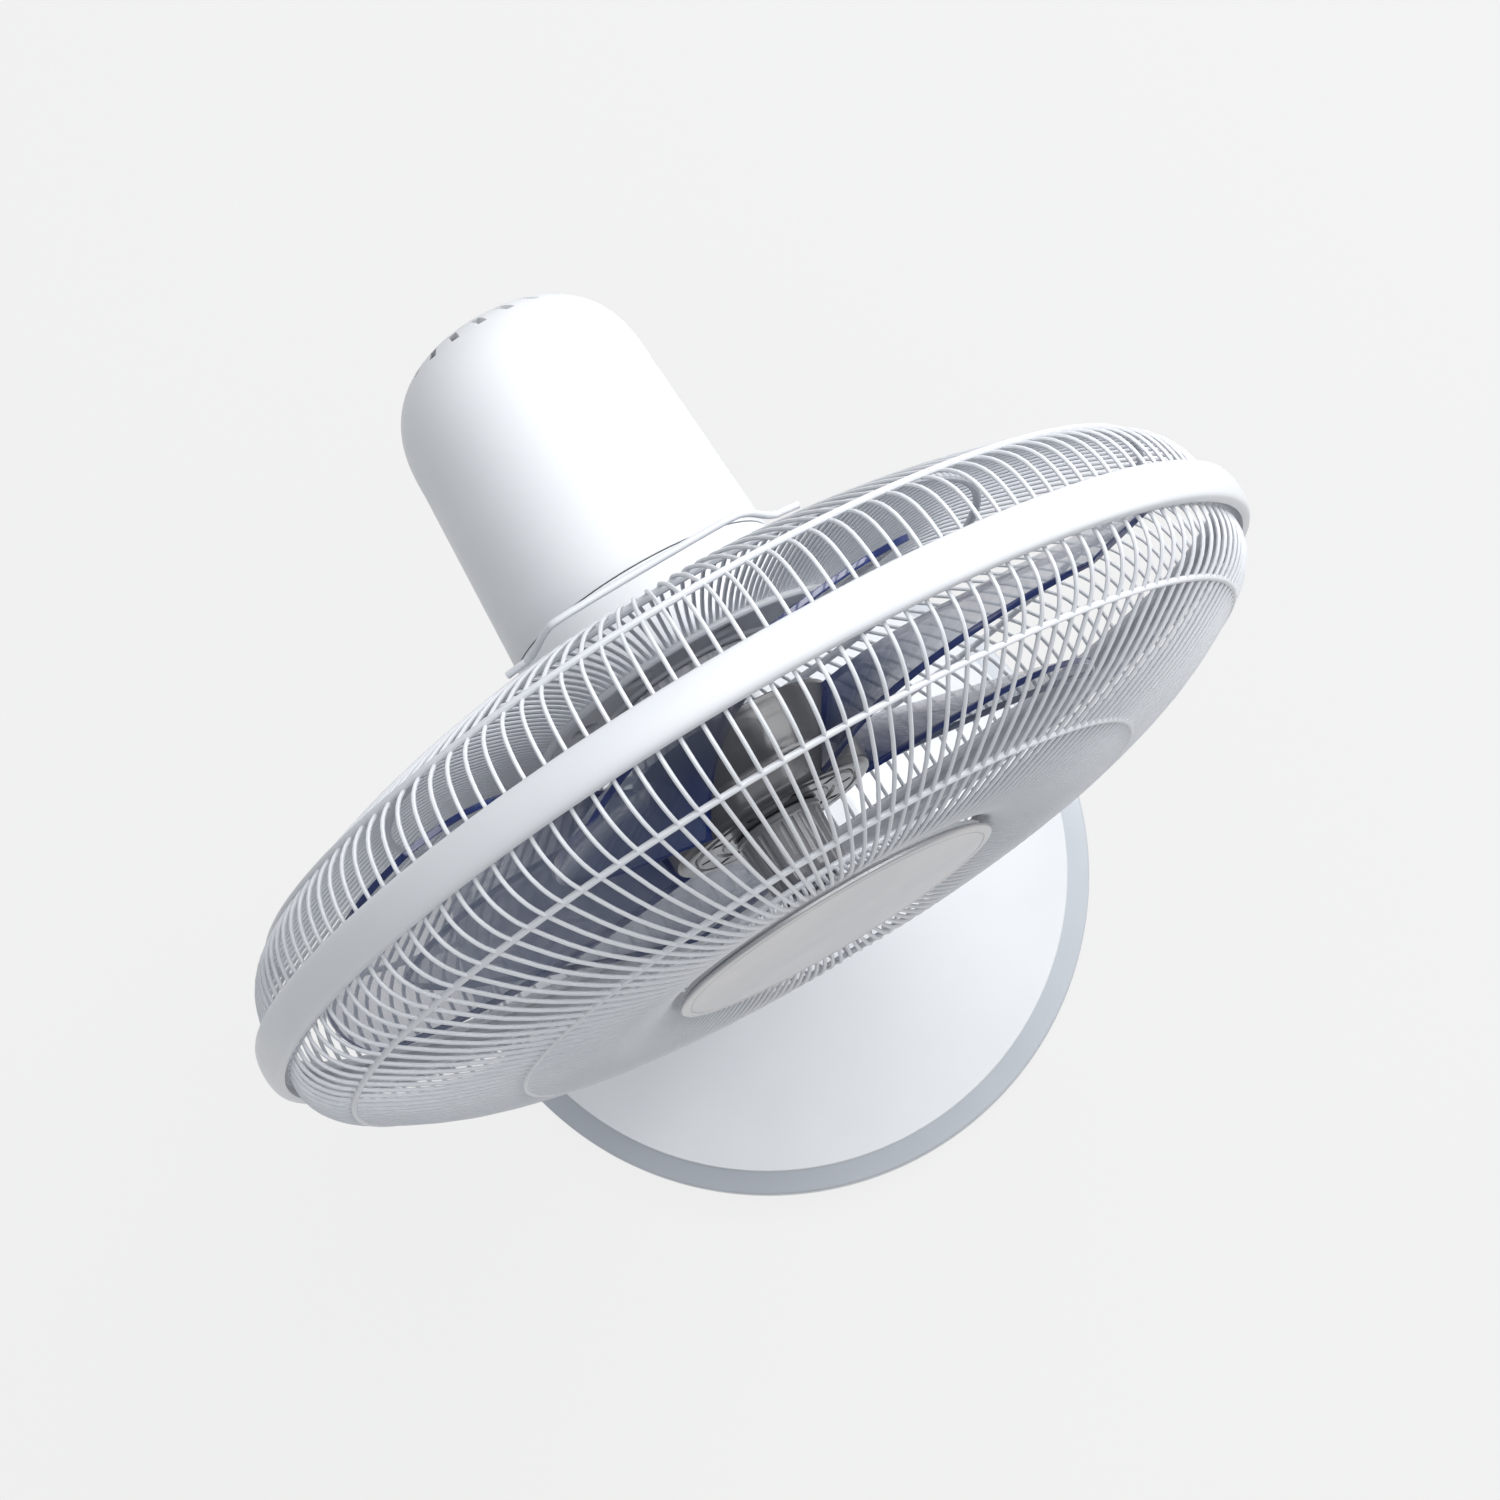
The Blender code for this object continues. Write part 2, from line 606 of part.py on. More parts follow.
def make_oscillation_motor(finish):
    y = PIVOT_BACK - OSC_OFFSET
    pin_top = LEVER_LOW - SLIDE
    crank_top = pin_top - 0.0030
    crank_low = crank_top - 0.0035
    motor_high = crank_low - FIT
    motor_low = motor_high - OSC_MOTOR_HEIGHT
    profile = [(0, motor_low), (OSC_MOTOR_RADIUS, motor_low), (OSC_MOTOR_RADIUS, motor_high),
               (0.003, motor_high), (0.003, crank_top), (0, crank_top)]
    add("oscillation_motor", turned(profile, "Z", (0, y, 0), ROUND_MID, closed=False), finish["zinc"])
    shelf = column_plate("oscillation_shelf", motor_low - FIT - 0.003, motor_low - FIT,
                         finish["grey"])
    way = add("shelf_wire_way", block((-0.008, column_centre(motor_low) - 0.027, motor_low - 0.02),
                                      (0.008, column_centre(motor_low) - 0.022, motor_low + 0.02)),
              None, is_tool=True)
    combine(shelf, way, "DIFFERENCE")
    axis = axis_empty("oscillation_crank_axis", (0, y, crank_low))
    crank = add("oscillation_crank", ring(0.003 + FIT, CRANK_RADIUS, crank_low, crank_top, "Z",
                                          (0, y, 0), ROUND_MID), finish["key"], axis)
    pin = add("crank_pin", disc(0.0018, crank_top - 0.001, pin_top, "Z",
                                (0, y - CRANK_THROW, 0), ROUND_SMALL), None, axis, is_tool=True)
    combine(crank, pin, "UNION")


# Motor, in the tilting head

def make_tilt_arm(finish, tilt):
    arm_half = CHEEK_GAP / 2 - SLIDE
    stator_low = AXIS_HEIGHT - STATOR_RADIUS
    flange_high = stator_low - MOVE
    flange_low = flange_high - 0.0035
    arc = circle_points(24, ARM_RADIUS, math.pi)[0:13]
    outline = [(-arm_half, PIVOT_BACK + a, PIVOT_Z + b) for a, b in arc]
    outline += [(-arm_half, PIVOT_BACK + ARM_RADIUS, flange_low + 0.001),
                (-arm_half, PIVOT_BACK - ARM_RADIUS, flange_low + 0.001)]
    arm = add("tilt_arm", extruded(outline, (2 * arm_half, 0, 0)), finish["white"], tilt)
    front = RIM_Y + STATOR_START - WINDING_LENGTH - 0.002
    back = RIM_Y + STATOR_START + STATOR_LENGTH + WINDING_LENGTH + 0.002
    flange = add("arm_flange", block((-0.0155, front, flange_low), (0.0155, back, flange_high)),
                 None, tilt, is_tool=True)
    combine(arm, flange, "UNION")
    bore = add("arm_bore", bore_tool(HINGE_RADIUS + FIT, -0.05, 0.05, "X",
                                     (0, PIVOT_BACK, PIVOT_Z), ROUND_MID), None, is_tool=True)
    combine(arm, bore, "DIFFERENCE")


def make_motor(finish, tilt, spin):
    centre = (0, RIM_Y, AXIS_HEIGHT)
    stator_end = STATOR_START + STATOR_LENGTH
    front_plate_back = STATOR_START - WINDING_LENGTH - 0.002
    rear_plate_front = stator_end + WINDING_LENGTH + 0.002
    holes = []
    for k, (x, z) in enumerate(circle_points(MOTOR_BOLTS, MOTOR_BOLT_CIRCLE, math.pi / 4)):
        front = front_plate_back - PLATE_THICKNESS
        holes.append(add(f"motor_bolt_hole_{k + 1}",
                         bore_tool(MOTOR_BOLT_RADIUS + FIT, front - 0.01, rear_plate_front + 0.02, "Y",
                                   (x, RIM_Y, AXIS_HEIGHT + z), ROUND_SMALL), None, is_tool=True))
        screw(f"motor_bolt_{k + 1}", 0.0034, MOTOR_BOLT_RADIUS, SCREW_HEAD_HEIGHT,
              rear_plate_front + PLATE_THICKNESS - front + 0.003, head(x, front - FIT, z), (0, 1, 0),
              tilt, finish["zinc"])

    core = add("stator_core", ring(STATOR_BORE, STATOR_RADIUS, STATOR_START, stator_end, "Y", centre,
                                   ROUND_WIDE), finish["lamination"], tilt)
    wind_in = STATOR_BORE + 0.0012
    for name, low in (("front_winding", STATOR_START - FIT - WINDING_LENGTH),
                      ("rear_winding", stator_end + FIT)):
        high = low + WINDING_LENGTH
        edge = 0.0025
        profile = [(wind_in + edge, low), (WINDING_OUTER - edge, low), (WINDING_OUTER, low + edge),
                   (WINDING_OUTER, high - edge), (WINDING_OUTER - edge, high), (wind_in + edge, high),
                   (wind_in, high - edge), (wind_in, low + edge)]
        add(name, turned(profile, "Y", centre, ROUND_MID), finish["copper"], tilt)
    bore = SHAFT_RADIUS + SLIDE
    nose = BEARING_RADIUS + NOSE_WALL
    front_low = front_plate_back - PLATE_THICKNESS
    bore = clear(bore, ROUND_WIDE)
    seat = clear(BEARING_RADIUS + FIT, ROUND_WIDE)
    profile = [(bore, front_low - BEARING_LENGTH), (nose, front_low - BEARING_LENGTH), (nose, front_low),
               (PLATE_RADIUS, front_low), (PLATE_RADIUS, front_plate_back),
               (seat, front_plate_back), (seat, front_low - BEARING_LENGTH + 0.002),
               (bore, front_low - BEARING_LENGTH + 0.002)]
    front_plate = add("motor_front_plate", turned(profile, "Y", centre, ROUND_WIDE), finish["zinc"], tilt)
    rear_high = rear_plate_front + PLATE_THICKNESS
    profile = [(0, rear_high + BEARING_LENGTH), (nose, rear_high + BEARING_LENGTH), (nose, rear_high),
               (PLATE_RADIUS, rear_high), (PLATE_RADIUS, rear_plate_front),
               (seat, rear_plate_front), (seat, rear_high + BEARING_LENGTH - 0.002),
               (0, rear_high + BEARING_LENGTH - 0.002)]
    rear_plate = add("motor_rear_plate", turned(profile, "Y", centre, ROUND_WIDE, closed=False),
                     finish["zinc"], tilt)
    for hole in holes:
        for piece in (core, front_plate, rear_plate):
            combine(piece, hole, "DIFFERENCE")
    bearing_low = front_low - BEARING_LENGTH + 0.002 + FIT
    add("front_bearing", ring(bore, BEARING_RADIUS, bearing_low, bearing_low + BEARING_LENGTH - 0.001,
                              "Y", centre, ROUND_MID), finish["bronze"], tilt)
    bearing_high = rear_high + BEARING_LENGTH - 0.002 - FIT
    add("rear_bearing", ring(bore, BEARING_RADIUS, bearing_high - BEARING_LENGTH + 0.001, bearing_high,
                             "Y", centre, ROUND_MID), finish["bronze"], tilt)

    add("rotor_core", ring(SHAFT_RADIUS + FIT, STATOR_BORE - SLIDE, STATOR_START, stator_end, "Y",
                           centre, ROUND_WIDE), finish["lamination"], spin)
    shaft = add("motor_shaft", disc(SHAFT_RADIUS, -HUB_FRONT - SPINNER_LENGTH * SHAFT_SHARE,
                                    bearing_high - SLIDE, "Y", centre, ROUND_MID), finish["steel"], spin)
    pin_back = HUB_SLEEVE_BACK + 0.002
    pin_hole = add("drive_pin_hole", bore_tool(DRIVE_PIN_RADIUS + FIT, -0.02, 0.02, "X",
                                               head(0, pin_back, 0), ROUND_SMALL), None, is_tool=True)
    combine(shaft, pin_hole, "DIFFERENCE")
    half = DRIVE_PIN_LENGTH / 2
    add("drive_pin", disc(DRIVE_PIN_RADIUS, -half, half, "X", head(0, pin_back, 0), ROUND_SMALL),
        finish["steel"], spin)


def housing_radius(back):
    """Outside of the motor housing: a slight taper, then a full dome."""
    if back < HOUSING_SHOULDER:
        share = (back - HOUSING_START) / (HOUSING_SHOULDER - HOUSING_START)
        return HOUSING_FRONT_RADIUS + (HOUSING_REAR_RADIUS - HOUSING_FRONT_RADIUS) * share
    share = min(1.0, (back - HOUSING_SHOULDER) / (HOUSING_END - HOUSING_SHOULDER))
    return HOUSING_REAR_RADIUS * (1 - share ** DOME_POWER) ** (1 / DOME_POWER)


def make_housing(finish, tilt):
    centre = (0, RIM_Y, AXIS_HEIGHT)
    wall = HOUSING_WALL
    edge = HOUSING_EDGE
    radius = housing_radius(HOUSING_START)
    seam_radius = housing_radius(HOUSING_SEAM)
    boss_in = MOUNT_BOSS_RADIUS - 0.003
    boss_front = HOUSING_START - MOUNT_BOSS_LENGTH
    profile = [(boss_in, boss_front), (MOUNT_BOSS_RADIUS, boss_front),
               (MOUNT_BOSS_RADIUS, HOUSING_START), (radius - edge, HOUSING_START),
               (radius - edge * 0.3, HOUSING_START + edge * 0.3), (radius, HOUSING_START + edge),
               (seam_radius, HOUSING_SEAM - FIT), (seam_radius - wall, HOUSING_SEAM - FIT),
               (radius - wall, HOUSING_START + edge + wall / 2),
               (radius - edge - wall / 2, HOUSING_START + wall), (boss_in, HOUSING_START + wall)]
    add("motor_front_cover", turned(profile, "Y", centre, ROUND_WIDE), finish["white"], tilt)

    outer, inner = [], []
    for back in (HOUSING_SEAM, HOUSING_SEAM + 0.030, HOUSING_SHOULDER):
        outer.append((housing_radius(back), back))
        inner.append((housing_radius(back) - wall, back))
    dome = HOUSING_END - HOUSING_SHOULDER
    for k in range(1, 6):
        angle = math.pi / 2 * k / 6
        back = HOUSING_SHOULDER + dome * math.sin(angle)
        outer.append((housing_radius(back), back))
        share = 1 - wall / dome
        inner.append((housing_radius(back) * (1 - wall / HOUSING_REAR_RADIUS),
                      HOUSING_SHOULDER + dome * share * math.sin(angle)))
    outer.append((0, HOUSING_END))
    inner.append((0, HOUSING_END - wall))
    cover = add("motor_rear_cover", turned(inner[::-1] + outer, "Y", centre, ROUND_WIDE, closed=False),
                finish["white"], tilt)
    slot_wall = SLIDE * 4
    opening = add("arm_opening", block((-CHEEK_GAP / 2 - 0.0005, PIVOT_BACK - ARM_RADIUS - slot_wall,
                                        AXIS_HEIGHT - HOUSING_FRONT_RADIUS - 0.01),
                                       (CHEEK_GAP / 2 + 0.0005, PIVOT_BACK + ARM_RADIUS + slot_wall,
                                        AXIS_HEIGHT - HOUSING_REAR_RADIUS + 0.01)), None, is_tool=True)
    combine(cover, opening, "DIFFERENCE")
    # both bores are turned a little, so that no edge of theirs runs into an edge of the dome
    askew = Matrix.Translation(centre) @ Matrix.Rotation(math.radians(BORE_TWIST), 4, "Y")
    askew = askew @ Matrix.Translation(-Vector(centre))
    screw_hole = bore_tool(SCREW_SHANK + FIT, HOUSING_SHOULDER, HOUSING_END + 0.01, "Y", centre,
                           ROUND_SMALL)
    recess = bore_tool(COVER_SCREW_HEAD + FIT * 2, HOUSING_END - 0.0009, HOUSING_END + 0.01, "Y",
                       centre, ROUND_MID)
    for name, tool in (("cover_screw_hole", screw_hole), ("cover_screw_recess", recess)):
        turn(tool, askew)
        combine(cover, add(name, tool, None, tilt, is_tool=True), "DIFFERENCE")
    shank = HOUSING_END - 0.0006 - rear_nose_end() - MOVE
    screw("rear_cover_screw", COVER_SCREW_HEAD, SCREW_SHANK, 0.0005, shank,
          head(0, HOUSING_END - 0.0006, 0), (0, -1, 0), tilt, finish["zinc"])
    slots = bmesh.new()
    lift = vent_back()
    for k in range(VENT_COUNT):
        half = Vector((VENT_WIDTH, VENT_DEPTH, VENT_LENGTH)) / 2
        piece = block(-half, half)
        lean = Matrix.Rotation(vent_slope(), 4, "X")
        swirl = Matrix.Rotation(math.radians(VENT_SWIRL), 4, "Y")
        place = Matrix.Translation((0, RIM_Y + lift, VENT_RADIUS)) @ lean @ swirl
        step = Matrix.Rotation(math.tau * k / VENT_COUNT, 4, "Y")
        turn(piece, Matrix.Translation((0, 0, AXIS_HEIGHT)) @ step @ place)
        mesh = bpy.data.meshes.new("slot")
        piece.to_mesh(mesh)
        piece.free()
        slots.from_mesh(mesh)
        bpy.data.meshes.remove(mesh)
    combine(cover, add("vent_slots", slots, None, is_tool=True), "DIFFERENCE")


def rear_nose_end():
    """Back end of the rear bearing housing."""
    return (STATOR_START + STATOR_LENGTH + WINDING_LENGTH + 0.002 + PLATE_THICKNESS
            + BEARING_LENGTH)


def vent_back():
    """Where the dome has the radius of the vent circle."""
    share = (1 - (VENT_RADIUS / HOUSING_REAR_RADIUS) ** DOME_POWER) ** (1 / DOME_POWER)
    return HOUSING_SHOULDER + (HOUSING_END - HOUSING_SHOULDER) * share


def vent_slope():
    step = 0.001
    back = vent_back()
    return math.atan2(2 * step, housing_radius(back - step) - housing_radius(back + step)) * -1


# Cage

def cage_line(shoulder, middle, crest, centre):
    """Radius and distance of the cage wires, with flat strips where the rings are."""
    facet = math.cos(math.pi / ROUND_BAND)
    edge = (GUARD_RADIUS - BAND_HEIGHT) * facet - WIRE_THICKNESS / 2 - SLIDE
    half = RING_WIDTH / 2
    line = [(edge, RING_SEAT - half, "ring"), (edge, RING_SEAT + half, "wire")]
    line.append((edge - 0.0012, RING_SEAT + (shoulder[1] - RING_SEAT) * 0.45, "wire"))
    for (radius, depth), slope in ((shoulder, 0.75), (middle, 0.20)):
        run = half / math.hypot(1, slope)
        line.append((radius + run, depth - run * slope, "ring"))
        line.append((radius - run, depth + run * slope, "wire"))
    line.insert(5, ((shoulder[0] + middle[0]) / 2 + 0.004,
                    shoulder[1] + (middle[1] - shoulder[1]) * 0.62, "wire"))
    line.append((crest[0], crest[1], "wire"))
    line.append((centre[0] + half, centre[1], "ring"))
    line.append((centre[0] - half, centre[1] - half, "end"))
    return line


def cage(name, line, side, finish, tilt):
    """An open lattice of wires and rings; side is -1 for the front and 1 for the back."""
    bm = bmesh.new()
    columns = []
    for k in range(WIRE_COUNT):
        for edge in (-1, 1):
            column = []
            for radius, depth, _ in line:
                angle = math.tau * (k + 0.5) / WIRE_COUNT + edge * math.asin(WIRE_WIDTH / 2 / radius)
                column.append(bm.verts.new(head(radius * math.sin(angle), side * depth,
                                                radius * math.cos(angle))))
            columns.append(column)
    for k, column in enumerate(columns):
        following = columns[(k + 1) % len(columns)]
        for i in range(len(line) - 1):
            if k % 2 == 0 or line[i][2] == "ring":
                bm.faces.new((column[i], column[i + 1], following[i + 1], following[i]))
    loose = [v for v in bm.verts if not v.link_faces]
    bmesh.ops.delete(bm, geom=loose, context="VERTS")
    made = add(name, bm, finish, tilt)
    solid = made.modifiers.new("wire_thickness", "SOLIDIFY")
    solid.thickness = WIRE_THICKNESS
    solid.offset = 0.0
    solid.use_even_offset = False
    return made


def make_cage(finish, tilt):
    centre = (0, RIM_Y, AXIS_HEIGHT)
    cage("front_guard", cage_line(FRONT_SHOULDER, FRONT_MIDDLE, FRONT_CREST, FRONT_CENTRE), -1,
         finish["wire"], tilt)
    cage("rear_guard", cage_line(REAR_SHOULDER, REAR_MIDDLE, REAR_CREST, REAR_CENTRE), 1,
         finish["wire"], tilt)

    plate_back = HOUSING_START - FIT
    plate_outer = REAR_CENTRE[0] - RING_WIDTH / 2 - WIRE_THICKNESS - FIT
    plate = add("guard_mount_plate", ring(MOUNT_BOSS_RADIUS + FIT, plate_outer,
                                          plate_back - MOUNT_PLATE_THICKNESS, plate_back, "Y",
                                          centre, ROUND_WIDE), finish["wire"], tilt)
    phase = math.pi / PLATE_VENTS
    for k, (x, z) in enumerate(circle_points(PLATE_VENTS, PLATE_VENT_CIRCLE, phase)):
        vent = add(f"plate_vent_{k + 1}", bore_tool(PLATE_VENT, -0.01, 0.01, "Y",
                                                    head(x, plate_back, z), ROUND_SMALL),
                   None, is_tool=True)
        combine(plate, vent, "DIFFERENCE")
    nut_back = plate_back - MOUNT_PLATE_THICKNESS - FIT
    sections = []
    for back, scale in ((nut_back - NUT_LENGTH, 0.93), (nut_back - 0.0015, 1.0), (nut_back, 1.0)):
        section = []
        for k in range(27):
            a = math.tau * k / 27
            r = NUT_RADIUS * scale * (1 - 0.05 * (k % 3 == 0))
            section.append(Vector(head(r * math.sin(a), back, r * math.cos(a))))
        sections.append(section)
    nut = add("rear_guard_nut", loft(sections), finish["white"], tilt)
    thread = add("guard_nut_thread", bore_tool(MOUNT_BOSS_RADIUS + FIT, 0, HOUSING_START, "Y", centre,
                                               ROUND_MID), None, is_tool=True)
    combine(nut, thread, "DIFFERENCE")

    make_band(finish, tilt)
    make_handle(finish, tilt)

    dome = [(0, -BADGE_FRONT), (BADGE_RADIUS * 0.5, -BADGE_FRONT + BADGE_DOME * 0.25),
            (BADGE_RADIUS - 0.001, -BADGE_FRONT + BADGE_DOME),
            (BADGE_RADIUS, -BADGE_FRONT + BADGE_DOME + 0.0008),
            (BADGE_RADIUS, -BADGE_FRONT + BADGE_THICKNESS), (0, -BADGE_FRONT + BADGE_THICKNESS)]
    add("badge_plate", turned(dome, "Y", centre, ROUND_WIDE, closed=False), finish["silver"], tilt)
    backing_front = -BADGE_FRONT + BADGE_THICKNESS + FIT
    add("badge_backing", disc(BACKING_RADIUS, backing_front, backing_front + BACKING_THICKNESS, "Y",
                              centre, ROUND_WIDE), finish["white"], tilt)


def make_band(finish, tilt):
    centre = (0, RIM_Y, AXIS_HEIGHT)
    inner = GUARD_RADIUS - BAND_HEIGHT
    half = BAND_WIDTH / 2
    profile = [(inner, half), (inner, -half)]
    for k in range(5):
        a = math.pi * k / 4
        profile.append((inner + BAND_HEIGHT * math.sin(a) ** 0.7 + 0.0004, -half * math.cos(a)))
    gap = BAND_GAP / GUARD_RADIUS
    bm = turned(profile, "Y", centre, ROUND_BAND, angle=math.tau - gap)
    turn(bm, Matrix.Translation(centre) @ Matrix.Rotation(gap / 2, 4, "Y")
         @ Matrix.Translation(-Vector(centre)))
    band = add("clamp_band", bm, finish["white"], tilt)
    top = -GUARD_RADIUS + BAND_HEIGHT * 0.6
    low = -GUARD_RADIUS - LUG_HEIGHT
    screw_z = low + LUG_HEIGHT * 0.45
    for side in (-1, 1):
        near = side * (BAND_GAP + FIT) / 2
        far = near + side * LUG_THICKNESS
        lug = block(head(min(near, far), -LUG_WIDTH / 2, low), head(max(near, far), LUG_WIDTH / 2, top),
                    0.0008)
        combine(band, add(f"band_lug_{side + 2}", lug, None, tilt, is_tool=True), "UNION")
    hole = add("band_screw_hole", bore_tool(SCREW_SHANK + FIT, -0.03, 0.03, "X",
                                            head(0, 0, screw_z), ROUND_SMALL), None, is_tool=True)
    combine(band, hole, "DIFFERENCE")
    reach = BAND_GAP / 2 + LUG_THICKNESS + FIT * 2
    screw("band_screw", SCREW_HEAD, SCREW_SHANK, SCREW_HEAD_HEIGHT, 2 * reach + 0.004,
          head(-reach, 0, screw_z), (1, 0, 0), tilt, finish["zinc"])
    outline = [head(reach, back, screw_z + up) for back, up in circle_points(6, BAND_NUT_RADIUS)]
    band_nut = add("band_nut", extruded(outline, (BAND_NUT_LENGTH, 0, 0)), finish["zinc"], tilt)
    combine(band_nut, hole, "DIFFERENCE")


def make_handle(finish, tilt):
    """Bent wire on top of the rear cage: two feet on the ring, two legs and a grip bar."""
    radius = REAR_MIDDLE[0] + 0.004
    foot_back = REAR_MIDDLE[1] + WIRE_THICKNESS / 2 + HANDLE_WIRE + FIT * 2
    half = HANDLE_WIDTH / 2
    side = []
    for k in range(4):
        x = half + HANDLE_FOOT * (1 - k / 3)
        side.append(Vector((x, foot_back + 0.0004, math.sqrt(radius ** 2 - x ** 2))))
    top = math.sqrt(radius ** 2 - half ** 2)
    grip = Vector((0, foot_back + HANDLE_BACK, top + HANDLE_RISE))
    side.append(Vector((half, foot_back + HANDLE_BACK * 0.35, top + HANDLE_RISE * 0.35)))
    side.append(Vector((half - 0.001, foot_back + HANDLE_BACK * 0.8, top + HANDLE_RISE * 0.8)))
    side.append(Vector((half - 0.006, grip.y, grip.z)))
    points = side + [Vector((-p.x, p.y, p.z)) for p in side[::-1]]
    line = bpy.data.curves.new("carry_handle", "CURVE")
    line.dimensions = "3D"
    line.bevel_depth = HANDLE_WIRE
    line.bevel_resolution = 2
    line.use_fill_caps = True
    spline = line.splines.new("POLY")
    spline.points.add(len(points) - 1)
    for target, point in zip(spline.points, points):
        target.co = (*head(*point), 1)
    made = bpy.data.objects.new("carry_handle", line)
    bpy.context.scene.collection.objects.link(made)
    line.materials.append(finish["wire"])
    made.parent = tilt
    made.matrix_parent_inverse = tilt.matrix_world.inverted()


# Blades

def blade_sections():
    """Sections of one blade from root to tip, as (angle, radius, back) rows across the chord."""
    rows = []
    stations = 6
    for i in range(stations):
        share = i / (stations - 1)
        radius = HUB_RADIUS - HUB_WALL * 0.6 + (BLADE_TIP - HUB_RADIUS + HUB_WALL * 0.6) * share
        half = math.radians(21 + 13 * math.sin(math.pi * share ** 0.9) + 3 * share)
        sweep = math.radians(-6 + 20 * share)
        front = 0.012 - 0.002 * share
        back = 0.022 + 0.008 * math.sin(math.pi * share)
        row = []
        for j in range(5):
            across = j / 4
            angle = sweep - half + 2 * half * across
            corner = 1 - 0.055 * share ** 6 * abs(2 * across - 1) ** 3
            camber = 0.004 * math.sin(math.pi * across)
            depth = -front + (front + back) * across + camber
            row.append((angle, radius * corner, depth))
        rows.append(row)
    return rows


def make_blades(finish, spin):
    centre = (0, RIM_Y, AXIS_HEIGHT)
    bore = clear(SHAFT_RADIUS + FIT, ROUND_WIDE)
    profile = [(bore, -HUB_FRONT), (HUB_RADIUS - 0.002, -HUB_FRONT), (HUB_RADIUS, -HUB_FRONT + 0.002),
               (HUB_RADIUS, HUB_BACK), (HUB_RADIUS - HUB_WALL, HUB_BACK),
               (HUB_RADIUS - HUB_WALL, -HUB_FRONT + HUB_WALL), (HUB_SLEEVE, -HUB_FRONT + HUB_WALL),
               (HUB_SLEEVE, HUB_SLEEVE_BACK), (bore, HUB_SLEEVE_BACK)]
    moulding = add("fan_blade", turned(profile, "Y", centre, ROUND_WIDE), finish["blade"], spin)
    rows = blade_sections()
    for k in range(BLADE_COUNT):
        phase = math.radians(BLADE_PHASE) + math.tau * k / BLADE_COUNT
        bm = bmesh.new()
        grid = [[bm.verts.new(head(r * math.sin(phase + a), d, r * math.cos(phase + a)))
                 for a, r, d in row] for row in rows]
        for low, high in zip(grid, grid[1:]):
            for j in range(len(low) - 1):
                bm.faces.new((low[j], low[j + 1], high[j + 1], high[j]))
        blade = add(f"blade_{k + 1}", bm, None, spin, is_tool=True)
        solid = blade.modifiers.new("blade_thickness", "SOLIDIFY")
        solid.thickness = BLADE_THICKNESS
        solid.offset = 0.0
        combine(moulding, blade, "UNION")

    start = -HUB_FRONT - FIT
    sections = []
    for back, scale in ((start, 1.0), (start - SPINNER_LENGTH * 0.8, 0.93),
                        (start - SPINNER_LENGTH * 0.97, 0.84), (start - SPINNER_LENGTH, 0.72)):
        section = []
        for k in range(SPINNER_FLUTES * 3):
            a = math.tau * k / (SPINNER_FLUTES * 3)
            r = SPINNER_RADIUS * scale - FLUTE_DEPTH * (k % 3 == 0)
            section.append(Vector(head(r * math.sin(a), back, r * math.cos(a))))
        sections.append(section)
    spinner = add("spinner_nut", loft(sections), finish["smoke"], spin)
    thread_end = -HUB_FRONT - SPINNER_LENGTH * SHAFT_SHARE - SLIDE
    thread = add("spinner_thread", bore_tool(SHAFT_RADIUS + FIT, thread_end, 0, "Y", centre,
                                             ROUND_MID), None, is_tool=True)
    combine(spinner, thread, "DIFFERENCE")


def centre_footprint():
    """Slide everything so that front and back reach equally far from the origin."""
    front = BASE_RADIUS
    back = max(BASE_RADIUS, HOUSING_END - RIM_FORWARD)
    for each in bpy.data.objects:
        if each.parent is None:
            each.location.y -= (back - front) / 2


def main():
    for old in list(bpy.data.objects):
        bpy.data.objects.remove(old, do_unlink=True)
    finish = {
        "white": material("gloss_white", (0.86, 0.88, 0.90), 0.25),
        "wire": material("white_powder_coat", (0.84, 0.86, 0.88), 0.35),
        "grey": material("grey_plastic", (0.45, 0.47, 0.50), 0.55),
        "silver": material("satin_silver", (0.62, 0.64, 0.67), 0.35, 0.6),
        "key": material("key_grey", (0.70, 0.72, 0.75), 0.4),
        "black": material("black_plastic", (0.03, 0.03, 0.035), 0.5),
        "smoke": material("smoke_plastic", (0.10, 0.11, 0.13), 0.2),
        "blade": material("smoky_blue", (0.30, 0.36, 0.50), 0.12),
        "rubber": material("grey_rubber", (0.12, 0.12, 0.13), 0.8),
        "steel": material("bright_steel", (0.60, 0.61, 0.63), 0.3, 1.0),
        "zinc": material("zinc_plate", (0.66, 0.67, 0.70), 0.4, 1.0),
        "bronze": material("sintered_bronze", (0.55, 0.38, 0.20), 0.5, 1.0),
        "copper": material("enamelled_copper", (0.60, 0.25, 0.10), 0.35, 0.9),
        "lamination": material("lamination_steel", (0.30, 0.31, 0.33), 0.5, 1.0),
    }
    yaw = axis_empty("oscillate_axis", (0, PIVOT_BACK, COLUMN_TOP))
    tilt = axis_empty("tilt_axis", (0, PIVOT_BACK, PIVOT_Z), yaw)
    spin = axis_empty("blade_axis", head(0, 0, 0), tilt)
    shell = make_base(finish)
    front = make_column(finish, shell)
    make_keys(finish, front)
    make_neck(finish, yaw)
    make_oscillation_motor(finish)
    make_tilt_arm(finish, tilt)
    make_motor(finish, tilt, spin)
    make_housing(finish, tilt)
    make_cage(finish, tilt)
    make_blades(finish, spin)
    centre_footprint()


main()
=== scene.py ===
import json
import math

import bmesh
import bpy
from mathutils import Matrix, Vector


